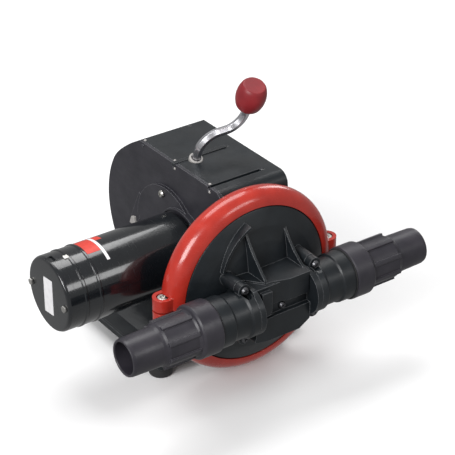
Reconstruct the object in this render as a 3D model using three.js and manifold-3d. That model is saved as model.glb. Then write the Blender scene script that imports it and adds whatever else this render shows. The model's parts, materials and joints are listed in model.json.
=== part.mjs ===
// Diaphragm bilge pump with a motor, a gear case and a hand crank, as separate named pieces.
// Millimetres, +Z up. While it is built, the origin is the centre of the clamp ring:
// +X runs along the two ports, -Y is the front (the pump head) and +Y the back (the gear case).
// The last lines move the whole group so that its origin is the middle of its base.
import * as THREE from "three";
import { mergeVertices } from "three/addons/utils/BufferGeometryUtils.js";
import Module from "manifold-3d";

const wasm = await Module();
wasm.setup();

// ---------------------------------------------------------------- dimensions
const GAP = 0.3;
const WALL = 3;
const FLOOR_Z = -104;

// Clamp ring and the flanges it holds
const RING_R = 96.3;
const RING_LIP_R = 81.4;
const RING_HALF = 14.2;
const FLANGE_R = 90;
const LUG_X = 96.5;
const LUG_R = 10;
const LUG_TOP = 13.6;
const LUG_BOTTOM = -15;

// Ports
const PORT_Y = -48.4;
const PORT_INNER = 36.3;
const PORT_OUTER = 77;
const PORT_BORE = 17.5;
const PORT_FLANGE_R = 25;
const PORT_PAD_AT = 30;
const MOUTH_AT = 171;
const MOUTH_R = 18.5;
const MOUTH_BORE = 15.5;
const PORT_SCREW_X = 41;
const PORT_SCREW_Z = 26;
const SEAT_AT = 97;
const SEAT_THICK = 3;
const FLAP_R = 15;
const FLAP_THICK = 2;
const FLAP_PIN_Z = 17.2;
const ADAPTER_RIBS = 8;

// Gear case
const CASE_LEFT = -18.7;
const CASE_RIGHT = 59.1;
const CASE_TOP = 88.5;
const CASE_FRONT = 14.5;
const CASE_FOOT = -79.7;
const DRUM_Y = 128;
const DRUM_R = 92;
const BOSS_Y = 106;
const BOSS_Z = 4;
const BOSS_R = 53;
const BOSS_HIGH = 3.5;
const GROOVE_WIDE = 4.5;
const GROOVE_DEEP = 3;
const GROOVE_END = 42;
const BOSS_SCREW = [111.5, 49];
const CASE_SCREWS = [[150, -62], [28, -60]];
const GLAND_Y = 176;
const GLAND_Z = -40;
const SEAT_RING = 1.8;

// Main shaft, its gears and the eccentric
const WHEEL_Y = 128;
const WHEEL_Z = 0;
const SHAFT_R = 6;
const THROW = 4;
const ECCENTRIC_R = 15;
const GEAR_TEETH = 56;
const PINION_TEETH = 14;
const CROWN_TEETH = 40;
const CRANK_TEETH = 10;
const CROWN_R = 40;
const CRANK_PINION_R = 10;

// Motor
const MOTOR_Y = 77.8;
const MOTOR_Z = 4.2;
const MOTOR_R = 38;
const MOTOR_FRONT = -22.6;
const CAP_SEAM = -152;
const MOTOR_END = -174;

// Hand crank: its socket leans forward so that its axis meets the main shaft
const CRANK_X = 3.1;
const CRANK_Y = 89.3;
const CRANK_FLATS = 8;
const CRANK_IN = 26;
const CRANK_RISE = 32;
const CRANK_THROW = 45;
const CRANK_HANDLE = 27;
const CRANK_BEND = 18;
const KNOB_LONG = 29;
const KNOB_R = 15;

// Connecting rod and diaphragm
const ROD_HALF = 6;
const PIN_Y = 21;
const PIN_R = 2.5;
const PLATE_R = 44;

// Base and feet
const BASE_HALF = 86;
const BASE_FRONT = 25;
const BASE_BACK = 198;
const BASE_LOW = -90.5;
const BASE_TOP = -86;
const HUMP_TOP = -80;
const FOOT_X = 74;
const FOOT_FRONT_Y = 42;
const FOOT_REAR_Y = 180;
const FOOT_R = 12;

const CENTRE_DISTANCE = Math.hypot(WHEEL_Y - MOTOR_Y, WHEEL_Z - MOTOR_Z);
const MODULE_MM = (2 * CENTRE_DISTANCE) / (GEAR_TEETH + PINION_TEETH);
const CRANK_DIR = new THREE.Vector3(0, CRANK_Y - WHEEL_Y, CASE_TOP - WHEEL_Z).normalize();
const CRANK_REACH = Math.hypot(CRANK_Y - WHEEL_Y, CASE_TOP - WHEEL_Z);

// ---------------------------------------------------------------- helpers
// A closed mesh as a solid, turned the right way out.
function solid(geometry) {
  const bare = geometry.index ? geometry.toNonIndexed() : geometry.clone();
  bare.deleteAttribute("normal");
  bare.deleteAttribute("uv");
  const merged = mergeVertices(bare, 1e-4);
  const vertProperties = merged.attributes.position.array;
  const triVerts = new Uint32Array(merged.index.array);
  const make = () => new wasm.Manifold(new wasm.Mesh({ numProp: 3, vertProperties, triVerts }));
  const first = make();
  if (first.volume() >= 0) return first;
  for (let i = 0; i < triVerts.length; i += 3) {
    [triVerts[i + 1], triVerts[i + 2]] = [triVerts[i + 2], triVerts[i + 1]];
  }
  return make();
}

const union = (...list) => list.reduce((a, b) => a.add(b));
const cut = (body, ...tools) => tools.reduce((a, b) => a.subtract(b), body);

// Turns a shape made along +Z so that it runs along the named axis; (u, v) become the other two.
const TO_AXIS = {
  x: new THREE.Matrix4().set(0, 0, 1, 0, 1, 0, 0, 0, 0, 1, 0, 0, 0, 0, 0, 1),
  y: new THREE.Matrix4().set(1, 0, 0, 0, 0, 0, 1, 0, 0, 1, 0, 0, 0, 0, 0, 1),
  z: new THREE.Matrix4(),
};

// Polygon [u, v] swept from a to b along an axis: (y, z) for x, (x, z) for y, (x, y) for z.
function prism(axis, points, a, b) {
  const shape = new THREE.Shape(points.map(([u, v]) => new THREE.Vector2(u, v)));
  const geometry = new THREE.ExtrudeGeometry(shape, { depth: b - a, bevelEnabled: false });
  geometry.translate(0, 0, a);
  geometry.applyMatrix4(TO_AXIS[axis]);
  return solid(geometry);
}

function box(x0, x1, y0, y1, z0, z1) {
  const geometry = new THREE.BoxGeometry(x1 - x0, y1 - y0, z1 - z0);
  geometry.translate((x0 + x1) / 2, (y0 + y1) / 2, (z0 + z1) / 2);
  return solid(geometry);
}

// Profile [radius, along] turned about an axis through (u, v), by the matrix `place` instead if given.
function revolve(axis, profile, u, v, segments = 32, place = null) {
  const points = profile.map(([r, along]) => new THREE.Vector2(r, along));
  if (profile[0][0] > 0) points.push(points[0].clone());
  const geometry = new THREE.LatheGeometry(points, segments);
  geometry.rotateX(Math.PI / 2);
  geometry.translate(u, v, 0);
  geometry.applyMatrix4(place || TO_AXIS[axis]);
  return solid(geometry);
}

function cylinder(axis, r, a, b, u, v, segments = 24) {
  return revolve(axis, [[0, a], [r, a], [r, b], [0, b]], u, v, segments);
}

function ring(axis, rIn, rOut, a, b, u, v, segments = 32) {
  return revolve(axis, [[rIn, a], [rOut, a], [rOut, b], [rIn, b]], u, v, segments);
}

function circle(u, v, r, count, from = 0, to = 2 * Math.PI) {
  const closed = Math.abs(to - from) > 2 * Math.PI - 1e-6;
  return Array.from({ length: closed ? count : count + 1 }, (_, i) => {
    const t = from + ((to - from) * i) / count;
    return [u + r * Math.cos(t), v + r * Math.sin(t)];
  });
}

// Outline of a toothed wheel with flat-sided teeth; a tooth points along `phase`.
function toothed(teeth, root, tip, u, v, phase, tipShare) {
  const step = (2 * Math.PI) / teeth;
  const corners = [[-tipShare, tip], [tipShare, tip], [0.5, root]];
  return Array.from({ length: teeth }, (_, i) => i).flatMap((i) =>
    corners.map(([share, r]) => {
      const t = phase + (i + share) * step;
      return [u + r * Math.cos(t), v + r * Math.sin(t)];
    })
  );
}

// Frame of the crank: x stays x, z runs out along the crank's axis, the origin is on the case top.
const CRANK_PLACE = new THREE.Matrix4()
  .makeTranslation(CRANK_X, CRANK_Y, CASE_TOP)
  .multiply(new THREE.Matrix4().makeRotationX(Math.atan2(-CRANK_DIR.y, CRANK_DIR.z)));

const crankTurned = (profile, segments = 24) => revolve("z", profile, 0, 0, segments, CRANK_PLACE);

function crankPrism(points, a, b) {
  const shape = new THREE.Shape(points.map(([u, v]) => new THREE.Vector2(u, v)));
  const geometry = new THREE.ExtrudeGeometry(shape, { depth: b - a, bevelEnabled: false });
  geometry.translate(0, 0, a);
  geometry.applyMatrix4(CRANK_PLACE);
  return solid(geometry);
}

const hexagon = (flats, turn = 0) => circle(0, 0, flats / Math.sqrt(3), 6, turn, turn + 2 * Math.PI);

const FINISH = {
  black: [0x2b3035, 0.5, 0],
  charcoal: [0x3a383f, 0.6, 0],
  can: [0x15181b, 0.25, 0.3],
  red: [0xc4392c, 0.35, 0],
  knob: [0x962f35, 0.5, 0],
  rubber: [0x1b1c1d, 0.85, 0],
  steel: [0xb9bcc2, 0.3, 0.9],
  bright: [0xd5d6da, 0.2, 1],
  gear: [0x8d8f92, 0.4, 0.8],
  brass: [0xb08a48, 0.35, 0.9],
  copper: [0xa85b32, 0.4, 0.8],
  pale: [0xbfbcb4, 0.6, 0],
  nylon: [0xd9d4c3, 0.55, 0],
  magnet: [0x55585c, 0.7, 0.2],
};

const group = new THREE.Group();

function add(name, body, finish) {
  const mesh = body.getMesh();
  const count = mesh.numProp;
  const positions = new Float32Array(mesh.numVert * 3);
  for (let i = 0; i < mesh.numVert; i++) {
    positions.set(mesh.vertProperties.subarray(i * count, i * count + 3), i * 3);
  }
  const geometry = new THREE.BufferGeometry();
  geometry.setAttribute("position", new THREE.BufferAttribute(positions, 3));
  geometry.setIndex(new THREE.BufferAttribute(mesh.triVerts, 1));
  const [color, roughness, metalness] = FINISH[finish];
  const piece = new THREE.Mesh(geometry, new THREE.MeshStandardMaterial({ color, roughness, metalness }));
  piece.name = name;
  group.add(piece);
}

// ---------------------------------------------------------------- base plate and feet
const HUMP_FOOT_X = 66;
const HUMP_X = 49;

function basePlate() {
  const corner = 10;
  const outline = [
    ...circle(BASE_HALF - corner, BASE_FRONT + corner, corner, 5, -Math.PI / 2, 0),
    ...circle(BASE_HALF - corner, BASE_BACK - corner, corner, 5, 0, Math.PI / 2),
    ...circle(-BASE_HALF + corner, BASE_BACK - corner, corner, 5, Math.PI / 2, Math.PI),
    ...circle(-BASE_HALF + corner, BASE_FRONT + corner, corner, 5, Math.PI, 1.5 * Math.PI),
  ];
  const plate = prism("z", outline, BASE_LOW, BASE_TOP);
  const hump = prism("y", [
    [-HUMP_FOOT_X, BASE_TOP - 1],
    [HUMP_FOOT_X, BASE_TOP - 1],
    [HUMP_FOOT_X, BASE_TOP],
    [HUMP_X, HUMP_TOP],
    [-HUMP_X, HUMP_TOP],
    [-HUMP_FOOT_X, BASE_TOP],
  ], BASE_FRONT + 6, BASE_BACK - 12);
  const under = prism("y", [
    [-HUMP_FOOT_X + 3, BASE_LOW - 1],
    [HUMP_FOOT_X - 3, BASE_LOW - 1],
    [HUMP_X - 3, HUMP_TOP - WALL],
    [-HUMP_X + 3, HUMP_TOP - WALL],
  ], BASE_FRONT + 9, BASE_BACK - 15);
  const rimLeft = box(-BASE_HALF, -BASE_HALF + 2.5, 50, BASE_BACK - 24, BASE_TOP - 1, BASE_TOP + 1.5);
  const rimRight = box(BASE_HALF - 2.5, BASE_HALF, 50, BASE_BACK - 24, BASE_TOP - 1, BASE_TOP + 1.5);
  const holes = footPlaces().flatMap(([, x, y]) => [
    cylinder("z", 9.4, BASE_LOW - 1, BASE_TOP + 4, x, y, 16),
    cylinder("z", FOOT_R + 0.4, BASE_TOP, BASE_TOP + 9, x, y, 16),
  ]);
  const underRibs = [-24, 0, 24].map((x) =>
    box(x - 1.2, x + 1.2, BASE_FRONT + 8, BASE_BACK - 14, BASE_LOW, HUMP_TOP - WALL + 1)
  );
  return union(cut(union(plate, hump, rimLeft, rimRight), under, ...holes), ...underRibs);
}

function footPlaces() {
  return [
    ["front_left", -FOOT_X, FOOT_FRONT_Y],
    ["front_right", FOOT_X, FOOT_FRONT_Y],
    ["rear_left", -FOOT_X, FOOT_REAR_Y],
    ["rear_right", FOOT_X, FOOT_REAR_Y],
  ];
}

// A rubber grommet foot: a wide pad below the plate, a neck in its hole and a lip above it.
function foot(x, y) {
  return revolve("z", [
    [5.3, FLOOR_Z],
    [FOOT_R - 1, FLOOR_Z],
    [FOOT_R, FLOOR_Z + 1],
    [FOOT_R, BASE_LOW - 3],
    [FOOT_R - 1.2, BASE_LOW - GAP],
    [9, BASE_LOW - GAP],
    [9, BASE_TOP + GAP],
    [FOOT_R - 1, BASE_TOP + GAP],
    [9.5, BASE_TOP + 3.6],
    [5.3, BASE_TOP + 3.6],
  ], x, y, 16);
}

function footSleeve(x, y) {
  return ring("z", 3.3, 5, FLOOR_Z + 0.6, BASE_TOP + 4.6, x, y, 16);
}

add("base_plate", basePlate(), "black");
for (const [place, x, y] of footPlaces()) {
  add("foot_" + place, foot(x, y), "rubber");
  add("foot_sleeve_" + place, footSleeve(x, y), "pale");
}

// ---------------------------------------------------------------- gear case
// Side outline of the case, drawn in by `inset` all round.
function caseOutline(inset, topInset) {
  const top = CASE_TOP - topInset;
  const front = CASE_FRONT + inset;
  const low = CASE_FOOT + inset;
  const r = DRUM_R - inset;
  const corner = 12;
  const rise = Math.asin(51.2 / DRUM_R);
  const fall = Math.asin(low / r);
  return [
    [front, low],
    ...circle(DRUM_Y, 0, r, 9, fall, 0),
    ...circle(DRUM_Y, 0, r, 4, 0, rise).slice(1),
    [DRUM_Y + 65.8 - inset, top - 26.7],
    [DRUM_Y + 55 - inset, top - 17.5],
    [DRUM_Y + 43 - inset, top - 9],
    [DRUM_Y + 28.3 - inset, top],
    ...circle(front + corner, top - corner, corner, 5, Math.PI / 2, Math.PI),
  ];
}

function grooves() {
  return [35.6, 95].map((y) =>
    box(CASE_LEFT - 1, GROOVE_END, y - GROOVE_WIDE / 2, y + GROOVE_WIDE / 2, CASE_TOP - GROOVE_DEEP, CASE_TOP + 1)
  );
}

const MAIN_BEARING_R = 11;
const CASE_INNER_TOP = 5.2;

function gearCase() {
  const start = CASE_LEFT + WALL + GAP;
  const shell = prism("x", caseOutline(0, 0), start, CASE_RIGHT);
  const hollow = prism("x", caseOutline(WALL, CASE_INNER_TOP), start - 1, CASE_RIGHT - WALL);
  const bearingBoss = cylinder("x", MAIN_BEARING_R + 4, 43, CASE_RIGHT - 1, WHEEL_Y, WHEEL_Z, 20);
  const bearingPocket = cylinder("x", MAIN_BEARING_R + GAP, 42, 51.3, WHEEL_Y, WHEEL_Z, 20);
  const web = box(48, CASE_RIGHT - 1, 40, DRUM_Y + 60, -1.5, 1.5);
  const tower = crankTurned([[0, -26], [12, -26], [12, -3], [0, -3]]).intersect(
    box(-40, 50, 40, 140, 0, CASE_TOP - 1)
  );
  const towerBore = crankTurned([[0, -30], [7.8, -30], [7.8, -4.6], [7.3, -4.6], [7.3, 9], [0, 9]]);
  const rodWay = cylinder("y", 20, CASE_FRONT - 1, CASE_FRONT + WALL + 1, 0, 0, 24);
  const nubs = [[44.2, 95], [44.2, 35.6], [40, 154]].map(([x, y]) =>
    revolve("z", [[0, CASE_TOP - 1], [1.7, CASE_TOP - 1], [1.7, CASE_TOP + 0.4], [0, CASE_TOP + 1]], x, y, 8)
  );
  const edge = prism("y", [
    [CASE_RIGHT - 2.5, CASE_TOP + 1],
    [CASE_RIGHT + 1, CASE_TOP + 1],
    [CASE_RIGHT + 1, CASE_TOP - 2.5],
  ], 0, 240);
  const screwWays = CASE_SCREWS.map(([y, z]) => cylinder("x", 2.3, start - 1, start + 12, y, z, 8));
  const screwPosts = CASE_SCREWS.map(([y, z]) => cylinder("x", 5, start, CASE_RIGHT - 1, y, z, 10));
  const hull = union(cut(shell, hollow), cut(bearingBoss, bearingPocket), cut(web, bearingPocket), tower, ...screwPosts);
  return cut(union(hull, ...nubs), towerBore, rodWay, edge, ...grooves(), ...screwWays);
}

function gearCaseCover() {
  const plate = prism("x", caseOutline(0, 0), CASE_LEFT, CASE_LEFT + WALL);
  const outline = prism("x", caseOutline(4, 8), CASE_LEFT - BOSS_HIGH, CASE_LEFT + 1);
  const boss = cylinder("x", BOSS_R, CASE_LEFT - BOSS_HIGH, CASE_LEFT + 1, BOSS_Y, BOSS_Z, 36).intersect(outline);
  const gusset = prism("x", [[152, 26], [160, 28], [170, -2], [162, -6], [156, -2]], CASE_LEFT - 5, CASE_LEFT + 1);
  const gussetSlope = prism("y", [
    [CASE_LEFT - 6, -10],
    [CASE_LEFT - 5.5, -10],
    [CASE_LEFT - 0.2, 30],
    [CASE_LEFT - 6, 30],
  ], 140, 180);
  const shaftWay = cylinder("x", 6, -40, 0, MOTOR_Y, MOTOR_Z, 16);
  const bearingPocket = cylinder("x", MAIN_BEARING_R + GAP, -20.8, 0, WHEEL_Y, WHEEL_Z, 20);
  const screwHoles = CASE_SCREWS.map(([y, z]) => cylinder("x", 2.3, -40, 0, y, z, 8));
  const bossScrewHole = cylinder("x", 2.3, -40, CASE_LEFT + 1, ...BOSS_SCREW, 8);
  const seatIn = MOTOR_R + 2 * GAP;
  const motorSeat = ring("x", seatIn, seatIn + SEAT_RING, CASE_LEFT - 6, CASE_LEFT + 1, MOTOR_Y, MOTOR_Z, 20);
  const dots = [[95, 83.4], [35.6, 83.4], [150, 84.8]].map(([y, z]) =>
    cylinder("x", 1.5, CASE_LEFT - 0.9, CASE_LEFT + 1, y, z, 8)
  );
  const body = union(plate, boss, motorSeat, cut(gusset, gussetSlope), ...dots);
  return cut(body, shaftWay, bearingPocket, bossScrewHole, ...screwHoles, ...grooves());
}

// A pan-head screw along +X, its head at the left.
function sideScrew(face, length, y, z) {
  const body = revolve("x", [
    [0, face - 2.6],
    [2.6, face - 2.6],
    [4, face - 1.6],
    [4, face - GAP],
    [2, face - GAP],
    [2, face + length],
    [0, face + length],
  ], y, z, 12);
  const slot = box(face - 4, face - 1.7, y - 0.5, y + 0.5, z - 3, z + 3);
  return cut(body, slot);
}

function crankBush() {
  return crankTurned([[4.9, -4], [7, -4], [7, 2.2], [6.2, 3], [4.9, 3]], 20);
}

function cableGland() {
  return union(
    cylinder("x", 5.5, CASE_LEFT - 7.5, CASE_LEFT - GAP, GLAND_Y, GLAND_Z, 12),
    cylinder("x", 3.6, CASE_LEFT - 12, CASE_LEFT - 7, GLAND_Y, GLAND_Z, 12)
  );
}

add("gear_case", gearCase(), "black");
add("gear_case_cover", gearCaseCover(), "charcoal");
add("crank_bush", crankBush(), "pale");
add("cable_gland", cableGland(), "rubber");
add("boss_screw", sideScrew(CASE_LEFT - BOSS_HIGH, 3.6, ...BOSS_SCREW), "steel");
CASE_SCREWS.forEach(([y, z], i) => add("case_screw_" + (i + 1), sideScrew(CASE_LEFT, 12, y, z), "steel"));

// ---------------------------------------------------------------- main shaft and gears
function bearing(a, b) {
  return revolve("x", [
    [SHAFT_R + GAP, a],
    [MAIN_BEARING_R - 0.6, a],
    [MAIN_BEARING_R, a + 0.6],
    [MAIN_BEARING_R, b],
    [SHAFT_R + GAP, b],
  ], WHEEL_Y, WHEEL_Z, 20);
}

function mainShaft() {
  const shaft = cylinder("x", SHAFT_R, -20.4, 50.5, WHEEL_Y, WHEEL_Z, 16);
  const eccentric = cylinder("x", ECCENTRIC_R, -8, 8, WHEEL_Y - THROW, WHEEL_Z, 28);
  return union(shaft, eccentric);
}

const TOWARDS_MOTOR = Math.atan2(MOTOR_Z - WHEEL_Z, MOTOR_Y - WHEEL_Y);
const TOOTH_TIP = 0.7 * MODULE_MM;
const TOOTH_ROOT = 1.15 * MODULE_MM;

function driveGear() {
  const pitch = (MODULE_MM * GEAR_TEETH) / 2;
  const outline = toothed(GEAR_TEETH, pitch - TOOTH_ROOT, pitch + TOOTH_TIP, WHEEL_Y, WHEEL_Z, TOWARDS_MOTOR, 0.07);
  const hub = cylinder("x", 11, -15.1, -9.2, WHEEL_Y, WHEEL_Z, 16);
  const bore = cylinder("x", SHAFT_R + GAP, -20, 0, WHEEL_Y, WHEEL_Z, 16);
  return cut(union(prism("x", outline, -15.1, -9.6), hub), bore);
}

// A face gear: radial teeth that point to the left, in mesh with the crank's pinion.
function crownGear() {
  const toothSpan = [34.6, 44.6];
  const rim = 15;
  const tip = CRANK_X + CRANK_PINION_R - 1.2;
  const disc = revolve("x", [
    [SHAFT_R + GAP, 8.6],
    [12, 8.6],
    [12, rim + 1.5],
    [32, rim + 1.5],
    [33, rim],
    [46, rim],
    [46, 20],
    [SHAFT_R + GAP, 20],
  ], WHEEL_Y, WHEEL_Z, 36);
  const axisTurn = Math.atan2(CRANK_DIR.z, CRANK_DIR.y);
  const teeth = Array.from({ length: CROWN_TEETH }, (_, i) => {
    const t = axisTurn + ((i + 0.5) * 2 * Math.PI) / CROWN_TEETH;
    const shape = new THREE.Shape(
      [[-1.05, rim + 0.5], [-0.45, tip], [0.45, tip], [1.05, rim + 0.5]].map(([u, v]) => new THREE.Vector2(u, v))
    );
    const geometry = new THREE.ExtrudeGeometry(shape, { depth: toothSpan[1] - toothSpan[0], bevelEnabled: false });
    geometry.translate(0, 0, toothSpan[0]);
    const radial = new THREE.Vector3(0, Math.cos(t), Math.sin(t));
    const along = new THREE.Vector3(1, 0, 0);
    const across = new THREE.Vector3().crossVectors(along, radial);
    geometry.applyMatrix4(new THREE.Matrix4().makeBasis(across, along, radial));
    geometry.translate(0, WHEEL_Y, WHEEL_Z);
    return solid(geometry);
  });
  return union(disc, ...teeth);
}

add("main_bearing_left", bearing(-20.5, -16), "steel");
add("main_bearing_right", bearing(45.2, 50.9), "steel");
add("main_shaft", mainShaft(), "gear");
add("drive_gear", driveGear(), "nylon");
add("crown_gear", crownGear(), "nylon");

// ---------------------------------------------------------------- motor
function motorCan() {
  return revolve("x", [
    [35.8, CAP_SEAM],
    [MOTOR_R, CAP_SEAM],
    [MOTOR_R, -139.5],
    [MOTOR_R + 0.8, -138.7],
    [MOTOR_R + 0.8, -137.1],
    [MOTOR_R, -136.3],
    [MOTOR_R, -30],
    [36.9, -26.5],
    [34.5, -24],
    [31, MOTOR_FRONT],
    [6.5, MOTOR_FRONT],
    [6.5, -25],
    [30, -25],
    [33.6, -27.4],
    [35.8, -31],
  ], MOTOR_Y, MOTOR_Z, 28);
}

const BOLT_R = 30.5;

function motorEndCap() {
  const cup = revolve("x", [
    [0, -169],
    [4.4, -169],
    [4.4, -160],
    [9, -160],
    [9, -170.5],
    [35, -170.5],
    [35, CAP_SEAM - GAP],
    [MOTOR_R + 0.6, CAP_SEAM - GAP],
    [MOTOR_R + 0.6, -155],
    [MOTOR_R - 0.2, -155.6],
    [MOTOR_R - 0.2, -170.8],
    [MOTOR_R - 1.4, -173],
    [MOTOR_R - 4, MOTOR_END],
    [0, MOTOR_END],
  ], MOTOR_Y, MOTOR_Z, 28);
  const boltWays = [-1, 1].map((side) => cylinder("x", 2.2, -180, -165, MOTOR_Y + side * BOLT_R, MOTOR_Z, 8));
  const notch = box(-176, -166, MOTOR_Y - 5, MOTOR_Y + 5, MOTOR_Z + MOTOR_R - 2.2, MOTOR_Z + MOTOR_R + 2);
  return cut(cup, notch, ...boltWays);
}

function throughBolt(side) {
  const head = prism("x", circle(MOTOR_Y + side * BOLT_R, MOTOR_Z, 3.6, 6), MOTOR_END - 2.6, MOTOR_END - GAP);
  const shank = cylinder("x", 1.8, MOTOR_END - 1, -30, MOTOR_Y + side * BOLT_R, MOTOR_Z, 8);
  return union(head, shank);
}

function magnet(side) {
  const half = 1.05;
  const middle = (side * Math.PI) / 2;
  const outer = circle(MOTOR_Y, MOTOR_Z, 35.4, 12, middle - half, middle + half);
  const inner = circle(MOTOR_Y, MOTOR_Z, 27.2, 12, middle + half, middle - half);
  return prism("x", [...outer, ...inner], -128, -48);
}

const SLOTS = 8;

function armatureCore() {
  const outline = Array.from({ length: SLOTS }, (_, i) => i).flatMap((i) => {
    const step = (2 * Math.PI) / SLOTS;
    return [[-0.4, 25.8], [-0.2, 26.2], [0, 26.3], [0.2, 26.2], [0.4, 25.8], [0.38, 15], [0.62, 15]]
      .map(([share, r]) => [MOTOR_Y + r * Math.cos((i + share) * step), MOTOR_Z + r * Math.sin((i + share) * step)]);
  });
  return cut(prism("x", outline, -122, -54), cylinder("x", 4.3, -130, -40, MOTOR_Y, MOTOR_Z, 14));
}

function armatureWinding() {
  const bars = Array.from({ length: SLOTS }, (_, i) => {
    const t = ((i + 0.5) * 2 * Math.PI) / SLOTS;
    const geometry = new THREE.BoxGeometry(88, 7, 2.2);
    geometry.translate(-88, 20.2, 0);
    geometry.rotateX(t);
    geometry.translate(0, MOTOR_Y, MOTOR_Z);
    return solid(geometry);
  });
  const ends = [[-133, -122.4], [-53.6, -43]].map(([a, b]) => revolve("x", [
    [10, a + 1.5],
    [14, a],
    [20, a],
    [23.6, a + 3],
    [23.6, b - 3],
    [22, b],
    [10, b],
  ], MOTOR_Y, MOTOR_Z, 12));
  return union(...ends, ...bars);
}

function commutator() {
  const bars = 16;
  const outline = Array.from({ length: bars }, (_, i) => i).flatMap((i) => {
    const step = (2 * Math.PI) / bars;
    return [[-0.42, 11], [0.42, 11], [0.42, 10.2], [0.58, 10.2]]
      .map(([share, r]) => [MOTOR_Y + r * Math.cos((i + share) * step), MOTOR_Z + r * Math.sin((i + share) * step)]);
  });
  return cut(prism("x", outline, -152, -134), cylinder("x", 4.3, -160, -130, MOTOR_Y, MOTOR_Z, 14));
}

function motorPinion() {
  const pitch = (MODULE_MM * PINION_TEETH) / 2;
  const phase = TOWARDS_MOTOR + Math.PI + Math.PI / PINION_TEETH;
  const outline = toothed(PINION_TEETH, pitch - TOOTH_ROOT, pitch + TOOTH_TIP, MOTOR_Y, MOTOR_Z, phase, 0.06);
  return cut(prism("x", outline, -15.1, -10), cylinder("x", 4.3, -20, 0, MOTOR_Y, MOTOR_Z, 14));
}

add("motor_can", motorCan(), "can");
add("motor_end_cap", motorEndCap(), "can");
add("motor_bolt_front", throughBolt(-1), "steel");
add("motor_bolt_rear", throughBolt(1), "steel");
add("motor_magnet_top", magnet(1), "magnet");
add("motor_magnet_bottom", magnet(-1), "magnet");
add("motor_shaft", cylinder("x", 4, -168.4, -10.4, MOTOR_Y, MOTOR_Z, 14), "bright");
add("armature_core", armatureCore(), "gear");
add("armature_winding", armatureWinding(), "copper");
add("commutator", commutator(), "copper");
add("motor_pinion", motorPinion(), "brass");

// ---------------------------------------------------------------- crank socket and crank
function crankSocket() {
  const innerEnd = CROWN_R - 6 - CRANK_REACH;
  const outerEnd = CROWN_R + 5 - CRANK_REACH;
  const sleeve = crankTurned([[0, innerEnd + 1], [7, innerEnd + 1], [7, -20], [7.5, -20], [7.5, -4.9], [0, -4.9]]);
  const teeth = toothed(CRANK_TEETH, CRANK_PINION_R - 1.9, CRANK_PINION_R + 1.2, 0, 0, 0, 0.07);
  const pinion = crankPrism(teeth, innerEnd, outerEnd);
  const socket = crankPrism(hexagon(CRANK_FLATS + 2 * GAP, Math.PI / 6), -CRANK_IN - 2, 5);
  return cut(union(sleeve, pinion), socket);
}

// The bar runs up out of its socket, across, and up again through the knob.
function crankRod() {
  const corner = (x, z) => new THREE.Vector3(x, 0, z);
  const path = new THREE.CurvePath();
  const arc = (from, middle, to) => path.add(new THREE.QuadraticBezierCurve3(from, middle, to));
  const top = CRANK_RISE + CRANK_HANDLE + KNOB_LONG - 5;
  path.add(new THREE.LineCurve3(corner(0, -CRANK_IN), corner(0, CRANK_RISE - CRANK_BEND)));
  arc(corner(0, CRANK_RISE - CRANK_BEND), corner(0, CRANK_RISE), corner(CRANK_BEND, CRANK_RISE));
  path.add(new THREE.LineCurve3(corner(CRANK_BEND, CRANK_RISE), corner(CRANK_THROW - CRANK_BEND, CRANK_RISE)));
  arc(
    corner(CRANK_THROW - CRANK_BEND, CRANK_RISE),
    corner(CRANK_THROW, CRANK_RISE),
    corner(CRANK_THROW, CRANK_RISE + CRANK_BEND)
  );
  path.add(new THREE.LineCurve3(corner(CRANK_THROW, CRANK_RISE + CRANK_BEND), corner(CRANK_THROW, top)));
  const shape = new THREE.Shape(hexagon(CRANK_FLATS).map(([u, v]) => new THREE.Vector2(u, v)));
  const geometry = new THREE.ExtrudeGeometry(shape, { steps: 32, extrudePath: path, bevelEnabled: false });
  geometry.applyMatrix4(CRANK_PLACE);
  return solid(geometry);
}

function crankKnob() {
  const start = CRANK_RISE + CRANK_HANDLE;
  const profile = [[4.9, 0], [10.6, 0], [11.4, 0.7]];
  for (let i = 1; i < 7; i++) {
    const t = i / 7;
    profile.push([11.4 + (KNOB_R - 11.4) * Math.sin(Math.PI * t) ** 0.8, 0.7 + (KNOB_LONG - 1.7) * t]);
  }
  profile.push([11, KNOB_LONG - 1], [10, KNOB_LONG], [0, KNOB_LONG], [0, KNOB_LONG - 4], [4.9, KNOB_LONG - 4]);
  const points = profile.map(([r, s]) => new THREE.Vector2(r, s + start));
  points.push(points[0].clone());
  const geometry = new THREE.LatheGeometry(points, 20);
  geometry.rotateX(Math.PI / 2);
  geometry.translate(CRANK_THROW, 0, 0);
  geometry.applyMatrix4(CRANK_PLACE);
  return solid(geometry);
}

add("crank_socket", crankSocket(), "gear");
add("crank_rod", crankRod(), "bright");
add("crank_knob", crankKnob(), "knob");

// ---------------------------------------------------------------- connecting rod and diaphragm
const SLOT_HALF_Y = 10.8;
const SLOT_HALF_Z = 6.8;

function roundedSlot(y, halfY, halfZ) {
  const reach = halfY - halfZ;
  return [
    ...circle(y + reach, 0, halfZ, 8, -Math.PI / 2, Math.PI / 2),
    ...circle(y - reach, 0, halfZ, 8, Math.PI / 2, 1.5 * Math.PI),
  ];
}

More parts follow.
